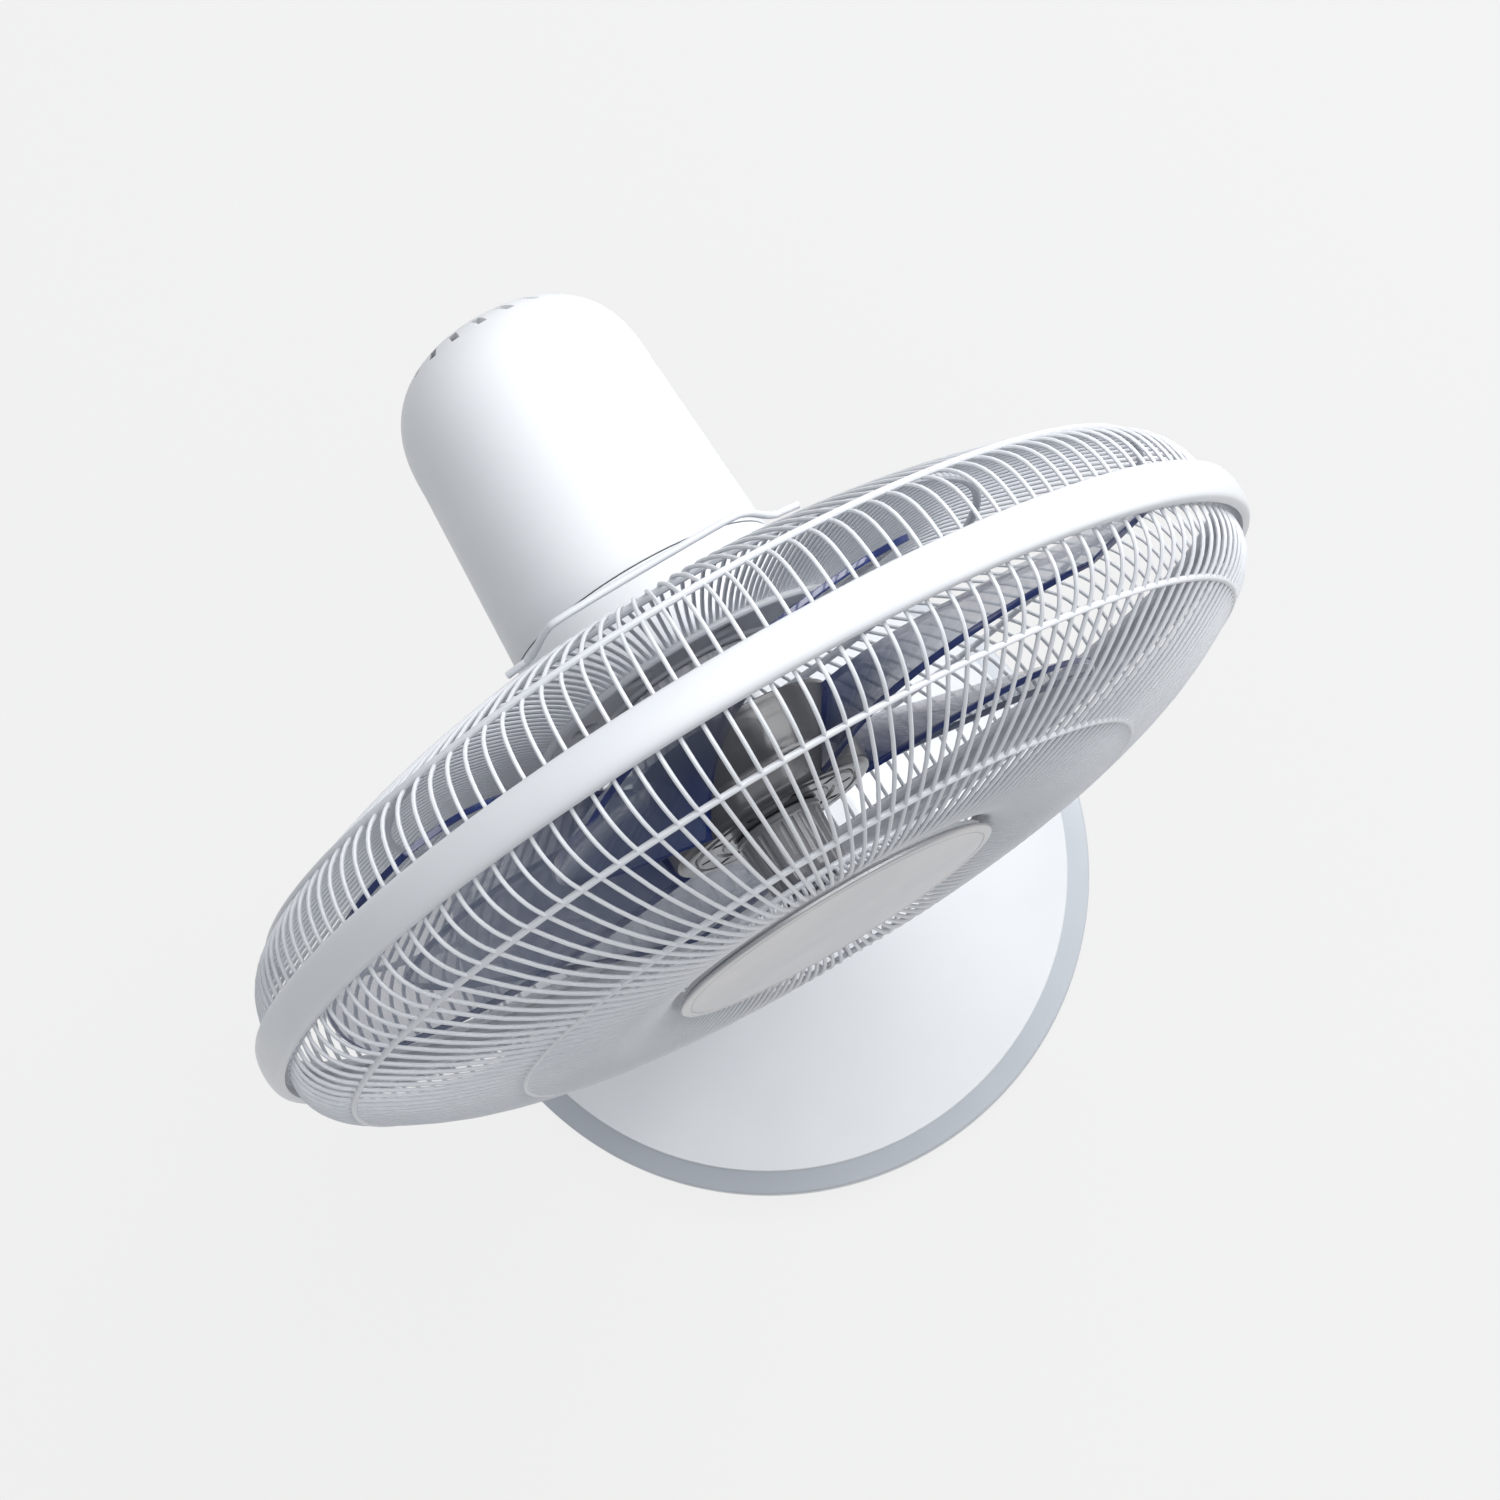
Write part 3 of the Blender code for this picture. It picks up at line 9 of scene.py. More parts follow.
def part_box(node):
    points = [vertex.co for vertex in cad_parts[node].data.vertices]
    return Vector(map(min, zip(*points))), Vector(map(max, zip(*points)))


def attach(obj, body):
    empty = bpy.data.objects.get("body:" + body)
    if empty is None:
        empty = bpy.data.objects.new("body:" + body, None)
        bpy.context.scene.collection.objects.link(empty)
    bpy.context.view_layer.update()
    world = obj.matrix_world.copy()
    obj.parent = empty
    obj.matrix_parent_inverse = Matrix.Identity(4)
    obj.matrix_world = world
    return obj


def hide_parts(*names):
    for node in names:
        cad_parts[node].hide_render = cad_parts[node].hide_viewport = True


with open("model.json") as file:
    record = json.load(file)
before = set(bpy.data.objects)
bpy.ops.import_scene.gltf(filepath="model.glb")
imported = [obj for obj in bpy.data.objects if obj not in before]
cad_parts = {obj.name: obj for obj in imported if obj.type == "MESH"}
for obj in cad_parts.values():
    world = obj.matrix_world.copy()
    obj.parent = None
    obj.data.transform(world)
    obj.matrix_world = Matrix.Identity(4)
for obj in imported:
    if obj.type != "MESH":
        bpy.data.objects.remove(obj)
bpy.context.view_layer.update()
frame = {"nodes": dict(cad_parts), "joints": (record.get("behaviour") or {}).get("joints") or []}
jointPlace = {j["name"]: Vector(j.get("pos_m", (0, 0, 0))) for j in frame["joints"]}
hub = jointPlace["blade_spin"]            # middle of the clamp band, on the blade axis
neck = jointPlace["oscillate"]
hinge = jointPlace["tilt"]
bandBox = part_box("clamp_band")
bandRadius = bandBox[1].x
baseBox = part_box("base_shell")
stand = Vector((0, (baseBox[0].y + baseBox[1].y) / 2, 0))     # middle of the round base, on the table
print("frame loaded, cage radius", round(bandRadius, 4), "axis at", [round(c, 4) for c in hub])


# camera, lights and floor

view = {
    "azimuth": -13.3,
    "elevation": 78.6,
    "roll": -17.6,
    "distance": 1.424,
    "lens": 87.2,
    "aim": (0.0056, 0.0177, 0.0),         # from the middle of the clamp band
}


def makeCamera():
    az, el, roll = (math.radians(view[k]) for k in ("azimuth", "elevation", "roll"))
    back = Vector((math.sin(az) * math.cos(el), -math.cos(az) * math.cos(el), math.sin(el)))
    level = Vector((0, 0, 1)).cross(back).normalized()
    up = back.cross(level)
    right = level * math.cos(roll) + up * math.sin(roll)
    up = up * math.cos(roll) - level * math.sin(roll)
    data = bpy.data.cameras.new("camera")
    data.lens = view["lens"]
    data.clip_start = 0.05
    camera = bpy.data.objects.new("camera", data)
    bpy.context.scene.collection.objects.link(camera)
    place = Matrix((right, up, back)).transposed().to_4x4()
    place.translation = hub + Vector(view["aim"]) + back * view["distance"]
    camera.matrix_world = place
    bpy.context.scene.camera = camera


studio = {
    "sky": (0.84, 0.90, 0.98),
    "skyStrength": 0.33,
    "floor": (0.05, 0.05, 0.05),
    "floorGlow": 0.82,                    # keeps the sheet of paper even and almost shadowless
    "key": {"place": (1.7, 0.5, 2.1), "size": 1.8, "power": 72},
    "top": {"place": (0.1, -0.3, 2.6), "size": 2.0, "power": 26},
}


def makeLight(name, aimAt):
    light = studio[name]
    data = bpy.data.lights.new(name, "AREA")
    data.shape = "SQUARE"
    data.size = light["size"]
    data.energy = light["power"]
    made = bpy.data.objects.new(name, data)
    bpy.context.scene.collection.objects.link(made)
    made.location = light["place"]
    made.rotation_mode = "QUATERNION"
    made.rotation_quaternion = (Vector(light["place"]) - aimAt).to_track_quat("Z", "Y")


def makeStudio():
    world = bpy.data.worlds.new("studio")
    world.use_nodes = True
    sky = world.node_tree.nodes["Background"]
    sky.inputs["Color"].default_value = (*studio["sky"], 1)
    sky.inputs["Strength"].default_value = studio["skyStrength"]
    bpy.context.scene.world = world
    bpy.context.scene.view_settings.view_transform = "Standard"
    for name in ("key", "top"):
        makeLight(name, hub)
    bm = bmesh.new()
    bmesh.ops.create_grid(bm, x_segments=1, y_segments=1, size=6)
    mesh = bpy.data.meshes.new("floor")
    bm.to_mesh(mesh)
    bm.free()
    floor = bpy.data.objects.new("floor", mesh)
    bpy.context.scene.collection.objects.link(floor)
    paper = Paint("paper", {"Base Color": (*studio["floor"], 1), "Roughness": 0.9,
                            "Specular IOR Level": 0.1, "Emission Color": (1, 1, 1, 1),
                            "Emission Strength": studio["floorGlow"]})
    mesh.materials.append(paper.material)


# shader maths

class Sock:
    def __init__(self, paint, out):
        self.paint, self.out = paint, out

    def __add__(self, other):
        return self.paint.maths("ADD", self, other)

    def __sub__(self, other):
        return self.paint.maths("SUBTRACT", self, other)

    def __rsub__(self, other):
        return self.paint.maths("SUBTRACT", other, self)

    def __mul__(self, other):
        return self.paint.maths("MULTIPLY", self, other)

    def __truediv__(self, other):
        return self.paint.maths("DIVIDE", self, other)

    __radd__ = __add__
    __rmul__ = __mul__


class Paint:
    def __init__(self, name, fixed):
        self.material = bpy.data.materials.new(name)
        self.material.use_nodes = True
        self.tree = self.material.node_tree
        self.shader = self.tree.nodes["Principled BSDF"]
        for socket, value in fixed.items():
            self.shader.inputs[socket].default_value = value

    def node(self, kind, settings, sockets, out=0):
        made = self.tree.nodes.new("ShaderNode" + kind)
        for key, value in settings.items():
            if key == "stops":
                ramp = made.color_ramp
                while len(ramp.elements) < len(value):
                    ramp.elements.new(0.5)
                for stop, (place, colour) in zip(ramp.elements, value):
                    stop.position, stop.color = place, colour
            else:
                setattr(made, key, value)
        for key, value in sockets.items():
            if isinstance(value, Sock):
                self.tree.links.new(value.out, made.inputs[key])
            else:
                made.inputs[key].default_value = value
        return Sock(self, made.outputs[out])

    def maths(self, operation, a, b=0.0):
        return self.node("Math", {"operation": operation}, {0: a, 1: b})

    def coords(self, centre=(0, 0, 0), stretch=(1, 1, 1)):
        place = self.node("TexCoord", {}, {}, "Object")
        moved = self.node("VectorMath", {"operation": "SUBTRACT"}, {0: place, 1: tuple(centre)})
        return self.node("VectorMath", {"operation": "MULTIPLY"}, {0: moved, 1: stretch})

    def noise(self, scale, detail=3.0, stretch=(1, 1, 1)):
        return self.node("TexNoise", {}, {"Vector": self.coords(stretch=stretch), "Scale": scale,
                                          "Detail": detail}, "Fac")

    def ramp(self, value, low, high, bottom=0.0, top=1.0):
        return self.node("MapRange", {}, {"Value": value, "From Min": low, "From Max": high,
                                          "To Min": bottom, "To Max": top}, "Result")

    def blend(self, share, a, b):
        return self.node("Mix", {"data_type": "RGBA"}, {0: share, 6: a, 7: b}, 2)

    def into(self, socket, value):
        self.tree.links.new(value.out, self.shader.inputs[socket])

    def bump(self, height, strength, distance):
        return self.node("Bump", {}, {"Height": height, "Strength": strength, "Distance": distance}, "Normal")


def rgba(colour):
    return (*colour, 1.0)


# finishes

finishes = {
    "glossWhite": {"colour": (0.71, 0.725, 0.745), "tint": (0.67, 0.69, 0.715), "rough": 0.40, "grain": 700,
                   "relief": 0.04, "coat": 0.06},
    "bandWhite": {"colour": (0.67, 0.685, 0.705), "tint": (0.61, 0.63, 0.66), "rough": 0.34, "grain": 900,
                  "relief": 0.06, "coat": 0.10},
    "wireWhite": {"colour": (0.66, 0.675, 0.70), "tint": (0.58, 0.60, 0.63), "rough": 0.36, "grain": 1600,
                  "relief": 0.18, "coat": 0.08},
    # painted shade: the base's outer rim band is the same white plastic, drawn grey where the sloped band
    # turns away from the light
    "rimPaintedShade": {"colour": (0.50, 0.525, 0.56), "tint": (0.45, 0.475, 0.51), "rough": 0.34, "grain": 900,
                "relief": 0.05, "coat": 0.15},
    "greyPlastic": {"colour": (0.36, 0.38, 0.41), "tint": (0.27, 0.285, 0.31), "rough": 0.5, "grain": 1800,
                    "relief": 0.45, "coat": 0.0},
    "keyGrey": {"colour": (0.62, 0.64, 0.67), "tint": (0.52, 0.54, 0.57), "rough": 0.38, "grain": 1500,
                "relief": 0.2, "coat": 0.0},
    "blackPlastic": {"colour": (0.03, 0.031, 0.034), "tint": (0.05, 0.05, 0.055), "rough": 0.45,
                     "grain": 1200, "relief": 0.3, "coat": 0.0},
    "rubber": {"colour": (0.075, 0.077, 0.08), "tint": (0.13, 0.13, 0.13), "rough": 0.8, "grain": 900,
               "relief": 0.5, "coat": 0.0},
    "hubSmoke": {"colour": (0.050, 0.052, 0.058), "tint": (0.10, 0.095, 0.10), "rough": 0.16, "grain": 500,
                 "relief": 0.06, "coat": 0.3},
    "spinnerSmoke": {"colour": (0.17, 0.175, 0.19), "tint": (0.25, 0.25, 0.26), "rough": 0.20, "grain": 500,
                     "relief": 0.06, "coat": 0.2},
}


def moulded(name):
    fixed = finishes[name]
    paint = Paint(name, {"Coat Roughness": 0.08})
    broad = paint.noise(9, 2)
    streak = paint.noise(38, 4, (1, 1, 0.35))
    fine = paint.noise(fixed["grain"], 2)
    share = paint.ramp(broad * 0.6 + streak * 0.4, 0.35, 0.75, 0.0, 0.7)
    paint.into("Base Color", paint.blend(share, rgba(fixed["colour"]), rgba(fixed["tint"])))
    smudge = paint.ramp(paint.noise(60, 5), 0.45, 0.75, 0.0, 0.10)
    paint.into("Roughness", smudge + paint.ramp(fine, 0.3, 0.7, fixed["rough"] - 0.03, fixed["rough"] + 0.03))
    paint.into("Coat Weight", paint.ramp(streak, 0.3, 0.8, fixed["coat"], fixed["coat"] * 0.5))
    paint.into("Normal", paint.bump(fine, fixed["relief"], 0.0002))
    return paint.material


metals = {
    "zinc": {"colour": (0.62, 0.64, 0.67), "tint": (0.45, 0.47, 0.52), "rough": 0.34, "spangle": 420},
    "steel": {"colour": (0.56, 0.57, 0.59), "tint": (0.42, 0.43, 0.45), "rough": 0.26, "spangle": 900},
    "bronze": {"colour": (0.50, 0.33, 0.16), "tint": (0.33, 0.20, 0.09), "rough": 0.46, "spangle": 1400},
    "lamination": {"colour": (0.24, 0.25, 0.27), "tint": (0.13, 0.13, 0.14), "rough": 0.42, "spangle": 700},
}


def metal(name, layers=0.0):
    fixed = metals[name]
    paint = Paint(name, {"Metallic": 1.0})
    spangle = paint.node("TexVoronoi", {"feature": "F1"},
                         {"Vector": paint.coords(), "Scale": fixed["spangle"]}, "Distance")
    cloud = paint.noise(45, 4)
    share = paint.ramp(cloud + spangle * 0.3, 0.4, 0.9)
    paint.into("Base Color", paint.blend(share, rgba(fixed["colour"]), rgba(fixed["tint"])))
    paint.into("Roughness", paint.ramp(cloud, 0.2, 0.8, fixed["rough"] - 0.08, fixed["rough"] + 0.14))
    height = paint.noise(1500, 2)
    if layers:
        split = paint.node("SeparateXYZ", {}, {"Vector": paint.coords()}, "Y")
        height = height * 0.3 + paint.maths("PINGPONG", split, layers) / layers
    paint.into("Normal", paint.bump(height, 0.25, 0.0003))
    return paint.material


def copperWire():
    paint = Paint("copper", {"Metallic": 0.85, "Coat Roughness": 0.1})
    x, y, z = (paint.node("SeparateXYZ", {}, {"Vector": paint.coords(hub)}, axis) for axis in "XYZ")
    turn = paint.maths("ARCTAN2", x, z)
    strand = paint.maths("PINGPONG", turn * 14 + y * 900, 0.5) * 2
    paint.into("Base Color", paint.blend(strand, rgba((0.30, 0.09, 0.03)), rgba((0.72, 0.30, 0.12))))
    paint.into("Roughness", 0.45 - strand * 0.15)
    paint.into("Coat Weight", strand * 0.6)
    paint.into("Normal", paint.bump(strand, 0.6, 0.0006))
    return paint.material


badgeFinish = {"colour": (0.55, 0.54, 0.545), "tint": (0.46, 0.47, 0.49), "rough": 0.32, "grooves": 5200}


def satinBadge():
    fixed = badgeFinish
    paint = Paint("satinSilver", {"Coat Roughness": 0.15})
    place = paint.coords(hub, (1, 0, 1))
    radius = paint.node("VectorMath", {"operation": "LENGTH"}, {0: place}, "Value")
    spun = paint.maths("SINE", radius * fixed["grooves"] + paint.noise(180, 2) * 6)
    cloud = paint.noise(22, 3)
    paint.into("Base Color", paint.blend(paint.ramp(cloud, 0.3, 0.75), rgba(fixed["colour"]),
                                         rgba(fixed["tint"])))
    paint.into("Metallic", paint.ramp(cloud, 0.2, 0.8, 0.50, 0.62))
    paint.into("Roughness", fixed["rough"] + spun * 0.035 + cloud * 0.05)
    paint.into("Coat Weight", paint.ramp(cloud, 0.2, 0.8, 0.2, 0.3))
    paint.into("Normal", paint.bump(spun, 0.06, 0.00008))
    return paint.material


bladeFinish = {
    "face": (0.17, 0.21, 0.31),
    "deep": (0.022, 0.042, 0.155),
    "edge": (0.006, 0.014, 0.085),
    "alphaThin": 0.36,
    "alphaThick": 0.90,
    "streak": 260,
}


def smokyBlade():
    fixed = bladeFinish
    paint = Paint("smokyBlue", {"IOR": 1.5, "Specular IOR Level": 0.7, "Coat Roughness": 0.05})
    place = paint.coords(hub, (1, 0, 1))
    radius = paint.node("VectorMath", {"operation": "LENGTH"}, {0: place}, "Value")
    root = paint.ramp(radius, 0.060, 0.150, 1.0, 0.0)
    flow = paint.noise(28, 4, (1, 1, 0.4))
    share = root * 0.75 + paint.ramp(flow, 0.4, 0.75, 0.0, 0.25)
    paint.into("Base Color", paint.blend(share, rgba(fixed["face"]), rgba(fixed["deep"])))
    paint.into("Alpha", paint.ramp(share, 0.0, 1.0, fixed["alphaThin"], fixed["alphaThick"]))
    turn = paint.maths("ARCTAN2", *(paint.node("SeparateXYZ", {}, {"Vector": place}, axis) for axis in "XZ"))
    around = paint.node("CombineXYZ", {}, {0: radius * fixed["streak"], 1: turn * 1.4, 2: 0.0})
    brushed = paint.node("TexNoise", {}, {"Vector": around, "Scale": 1.0, "Detail": 4.0, "Distortion": 0.7},
                         "Fac")
    paint.into("Roughness", 0.10 + brushed * 0.22)
    paint.into("Coat Weight", paint.ramp(brushed, 0.35, 0.65, 0.15, 0.8))
    paint.into("Normal", paint.bump(brushed, 0.22, 0.0006))
    return paint.material


def bladeEdge():
    fixed = bladeFinish
    paint = Paint("bladeEdge", {"Coat Roughness": 0.05})
    glow = paint.noise(120, 3)
    paint.into("Base Color", paint.blend(paint.ramp(glow, 0.3, 0.7), rgba(fixed["edge"]),
                                         rgba((0.012, 0.028, 0.14))))
    paint.into("Roughness", 0.10 + glow * 0.12)
    paint.into("Coat Weight", paint.ramp(glow, 0.2, 0.8, 0.4, 0.7))
    paint.into("Normal", paint.bump(paint.noise(700, 2), 0.08, 0.0002))
    return paint.material


# mesh helpers

def faceOut(bm):
    bmesh.ops.recalc_face_normals(bm, faces=bm.faces)
    if bm.calc_volume(signed=True) < 0:
        bmesh.ops.reverse_faces(bm, faces=bm.faces)


def finishPiece(name, bm, finish, body, replaced=(), sharp=32, recalc=True):
    if recalc:
        faceOut(bm)
    mesh = bpy.data.meshes.new(name)
    bm.to_mesh(mesh)
    bm.free()
    mesh.shade_smooth()
    mesh.set_sharp_from_angle(angle=math.radians(sharp))
    for each in finish if isinstance(finish, (list, tuple)) else (finish,):
        mesh.materials.append(each)
    made = bpy.data.objects.new(name, mesh)
    bpy.context.scene.collection.objects.link(made)
    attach(made, body)
    if replaced:
        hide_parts(*replaced)
    return made


def spun(profile, axis, centre, steps, closed=True):
    bm = bmesh.new()
    centre = Vector(centre)
    along = {"X": Vector((1, 0, 0)), "Y": Vector((0, 1, 0)), "Z": Vector((0, 0, 1))}[axis]
    out = Vector((1, 0, 0)) if axis == "Z" else Vector((0, 0, -1))
    points = [bm.verts.new(centre + out * r + along * h) for r, h in profile]
    edges = [bm.edges.new(pair) for pair in zip(points, points[1:])]
    if closed:
        edges.append(bm.edges.new((points[-1], points[0])))
    bmesh.ops.spin(bm, geom=points + edges, cent=centre, axis=along, dvec=(0, 0, 0), angle=math.tau,
                   steps=steps, use_merge=True, use_duplicate=False)
    bmesh.ops.remove_doubles(bm, verts=bm.verts, dist=1e-6)
    return bm


def arc(centre, radius, start, end, count):
    points = []
    for k in range(count):
        a = math.radians(start + (end - start) * k / (count - 1))
        points.append((centre[0] + radius * math.cos(a), centre[1] + radius * math.sin(a)))
    return points


def smoothLine(points, count):
    # a Catmull-Rom curve through the points, with even steps along each stretch
    made = []
    ends = [points[0] * 2 - points[1]] + list(points) + [points[-1] * 2 - points[-2]]
    for a, b, c, d in zip(ends, ends[1:], ends[2:], ends[3:]):
        for k in range(count):
            t = k / count
            made.append(0.5 * (2 * b + (c - a) * t + (2 * a - 5 * b + 4 * c - d) * t * t
                               + (3 * b - a - 3 * c + d) * t ** 3))
    return made + [points[-1]]


def sweep(bm, path, radius, sides):
    # a round wire along a path, drawn out from a circle
    tangents = [(after - before).normalized()
                for before, after in zip([path[0]] + path[:-1], path[1:] + [path[-1]])]
    turn = tangents[0].to_track_quat("Z", "Y").to_matrix().to_4x4()
    ring = bmesh.ops.create_circle(bm, segments=sides, radius=radius, cap_ends=False,
                                   matrix=Matrix.Translation(path[0]) @ turn)["verts"]
    edges = list({e for v in ring for e in v.link_edges})
    start = list(edges)
    for k in range(1, len(path)):
        made = bmesh.ops.extrude_edge_only(bm, edges=edges)["geom"]
        ring = [g for g in made if isinstance(g, bmesh.types.BMVert)]
        edges = [g for g in made if isinstance(g, bmesh.types.BMEdge)
                 and g.verts[0] in ring and g.verts[1] in ring]
        bend = tangents[k - 1].rotation_difference(tangents[k]).to_matrix()
        bmesh.ops.rotate(bm, verts=ring, cent=path[k - 1], matrix=bend)
        bmesh.ops.translate(bm, verts=ring, vec=path[k] - path[k - 1])
    bmesh.ops.holes_fill(bm, edges=start + edges, sides=sides)


def rounded(bm, edges, width, segments, material=-1, clamp=False):
    bmesh.ops.bevel(bm, geom=edges, offset=width, offset_type="OFFSET", segments=segments, profile=0.5,
                    affect="EDGES", material=material, clamp_overlap=clamp)


def sharpEdges(bm, angle=25):
    return [e for e in bm.edges if len(e.link_faces) == 2 and e.calc_face_angle() > math.radians(angle)]


def bevelAll(bm, width, segments):
    rounded(bm, sharpEdges(bm), width, segments, clamp=True)


def edgesAlong(bm, axis, length=0.001):
    # edges that run further than a length along an axis, where 0 is x, 1 is y and 2 is z
    return [e for e in bm.edges if abs(e.verts[0].co[axis] - e.verts[1].co[axis]) > length]


def newBlock(low, high):
    bm = bmesh.new()
    block(bm, low, high)
    return bm


def newCylinder(*shape):
    bm = bmesh.new()
    cylinder(bm, *shape)
    return bm


def crossCut(place, axis, wide, long, start, end):
    # the two crossed slots of a screw head, from start to end along an axis
    slots = bmesh.new()
    for size in ((wide, long), (long, wide)):
        low, high = [-size[0], -size[1]], list(size)
        low.insert(axis, start)
        high.insert(axis, end)
        block(slots, place + Vector(low), place + Vector(high))
    return slots


def block(bm, low, high):
    low, high = Vector(low), Vector(high)
    place = Matrix.Translation((low + high) / 2) @ Matrix.Diagonal((*(high - low), 1))
    return bmesh.ops.create_cube(bm, size=1, matrix=place)["verts"]


def cylinder(bm, radius, start, end, sides=32):
    start, end = Vector(start), Vector(end)
    turn = (end - start).to_track_quat("Z", "Y").to_matrix().to_4x4()
    place = Matrix.Translation((start + end) / 2) @ turn
    return bmesh.ops.create_cone(bm, cap_ends=True, cap_tris=False, segments=sides, radius1=radius,
                                 radius2=radius, depth=(end - start).length, matrix=place)["verts"]


def carved(bm, cutter, operation="DIFFERENCE", crossing=False):
    # cuts one bmesh with another and gives back a new bmesh; crossing is for a cutter that meets itself
    made = []
    for k, source in enumerate((bm, cutter)):
        faceOut(source)
        mesh = bpy.data.meshes.new(f"carving{k}")
        source.to_mesh(mesh)
        source.free()
        made.append(bpy.data.objects.new(f"carving{k}", mesh))
        bpy.context.scene.collection.objects.link(made[-1])
    step = made[0].modifiers.new("cut", "BOOLEAN")
    step.object, step.operation, step.solver, step.use_self = made[1], operation, "EXACT", crossing
    depsgraph = bpy.context.evaluated_depsgraph_get()
    result = bmesh.new()
    result.from_object(made[0], depsgraph)
    for each in made:
        mesh = each.data
        bpy.data.objects.remove(each)
        bpy.data.meshes.remove(mesh)
    return result


def addTo(bm, part):
    mesh = bpy.data.meshes.new("part")
    part.to_mesh(mesh)
    part.free()
    bm.from_mesh(mesh)
    bpy.data.meshes.remove(mesh)


def back(distance):
    # a place on the blade axis, behind the clamp band
    return hub + Vector((0, distance, 0))


def onHead(radius, angle, distance):
    # angle in degrees, clockwise from straight up, seen from the front
    a = math.radians(angle)
    return hub + Vector((radius * math.sin(a), distance, radius * math.cos(a)))


# cage

band = {"width": 0.017, "height": 0.0055, "lip": 0.0012, "gap": 0.0050, "steps": 220}
lug = {"drop": 0.011, "thick": 0.0035, "width": 0.010, "bevel": 0.0009}
bandScrew = {"bore": 0.0021, "shank": 0.0018, "head": 0.0036, "rise": 0.0026, "nut": 0.0026,
             "nutBore": 0.0020}


def makeBand(white, zinc):
    half, inner = band["width"] / 2, bandRadius - band["height"]
    profile = [(inner, half), (inner - 0.0004, half * 0.3), (inner - 0.0004, -half * 0.3), (inner, -half)]
    for k in range(15):
        a = math.pi * k / 14
        rise = (band["height"] - band["lip"]) * math.sin(a) ** 0.62
        profile.append((inner + band["lip"] * min(1, 3 * math.sin(a) + 0.35) + rise, -half * math.cos(a)))
    bm = bmesh.new()
    gap = band["gap"] / bandRadius
    turn = Matrix.Rotation(gap / 2, 3, "Y")
    points = [bm.verts.new(hub + turn @ Vector((0, y, -r))) for r, y in profile]
    edges = [bm.edges.new(pair) for pair in zip(points, points[1:] + points[:1])]
    last = bmesh.ops.spin(bm, geom=points + edges, cent=hub, axis=(0, 1, 0), dvec=(0, 0, 0),
                          angle=math.tau - gap, steps=band["steps"], use_merge=False,
                          use_duplicate=False)["geom_last"]
    bmesh.ops.holes_fill(bm, edges=edges + [g for g in last if isinstance(g, bmesh.types.BMEdge)],
                         sides=len(points))
    low = -bandRadius - lug["drop"]
    for side in (-1, 1):
        near = side * (band["gap"] / 2 + 0.0001)
        far = near + side * lug["thick"]
        tab = newBlock(hub + Vector((min(near, far), -lug["width"] / 2, low)),
                       hub + Vector((max(near, far), lug["width"] / 2, -bandRadius + band["height"] * 0.5)))
        bevelAll(tab, lug["bevel"], 3)
        bm = carved(bm, tab, "UNION")
    screwAt = hub + Vector((0, 0, low + lug["drop"] * 0.45))
    fixed = bandScrew
    hole = newCylinder(fixed["bore"], screwAt - Vector((0.03, 0, 0)), screwAt + Vector((0.03, 0, 0)), 24)
    finishPiece("clampBand", carved(bm, hole), white, "head", ("clamp_band",))

    reach = band["gap"] / 2 + lug["thick"] + 0.0004
    end = 2 * reach + 0.0045
    head = [(0.0, -fixed["rise"]), (0.0022, -0.0025), (0.0032, -0.0018), (fixed["head"], -0.0006),
            (fixed["head"], 0.0), (fixed["shank"], 0.0), (fixed["shank"], end - 0.0005), (0.0013, end),
            (0.0, end)]
    bm = spun(head, "X", screwAt - Vector((reach, 0, 0)), 28, closed=False)
    cross = crossCut(screwAt - Vector((reach + 0.0016, 0, 0)), 0, 0.0005, 0.0022, -0.002, 0)
    finishPiece("bandScrew", carved(bm, cross, crossing=True), zinc, "head", ("band_screw",))
    bm = newCylinder(fixed["head"], screwAt + Vector((reach, 0, 0)),
                     screwAt + Vector((reach + fixed["nut"], 0, 0)), 6)
    bevelAll(bm, 0.0003, 2)
    core = newCylinder(fixed["nutBore"], screwAt, screwAt + Vector((0.02, 0, 0)), 20)
    finishPiece("bandNut", carved(bm, core), zinc, "head", ("band_nut",))
    print("clamp band made")


# each line and ring gives a radius and a distance from the clamp band, and a ring its thickness too
cages = {
    "front": {"count": 150, "wire": 0.00085, "way": -1, "node": "front_guard",
              "line": ((0.2116, 0.0045), (0.2112, 0.0140), (0.2070, 0.0222), (0.1973, 0.0300),
                       (0.1700, 0.0436), (0.1362, 0.0535), (0.1050, 0.0581), (0.0850, 0.0573),
                       (0.0735, 0.0545), (0.0695, 0.0515), (0.0672, 0.0488)),
              "rings": ((0.2112, 0.0052, 0.0020), (0.1971, 0.0299, 0.0013), (0.1362, 0.0531, 0.0013),
                        (0.0690, 0.0494, 0.0014))},
    "rear": {"count": 150, "wire": 0.00085, "way": 1, "node": "rear_guard",
             "line": ((0.2116, 0.0045), (0.2112, 0.0165), (0.2068, 0.0280), (0.1960, 0.0368),
                      (0.1670, 0.0500), (0.1340, 0.0603), (0.1180, 0.0633), (0.1020, 0.0630),
                      (0.0800, 0.0595), (0.0690, 0.0560), (0.0655, 0.0545)),
             "rings": ((0.2112, 0.0052, 0.0020), (0.1968, 0.0374, 0.0014), (0.1340, 0.0582, 0.0017),
                       (0.0664, 0.0529, 0.0016))},
}


def hoop(bm, radius, distance, thick):
    turn = Matrix.Translation(onHead(radius, 0, distance)) @ Matrix.Rotation(math.pi / 2, 4, "Y")
    made = bmesh.ops.create_circle(bm, segments=10, radius=thick, cap_ends=False, matrix=turn)["verts"]
    edges = list({e for v in made for e in v.link_edges})
    bmesh.ops.spin(bm, geom=made + edges, cent=hub, axis=(0, 1, 0), dvec=(0, 0, 0), angle=math.tau,
                   steps=240, use_merge=True, use_duplicate=False)


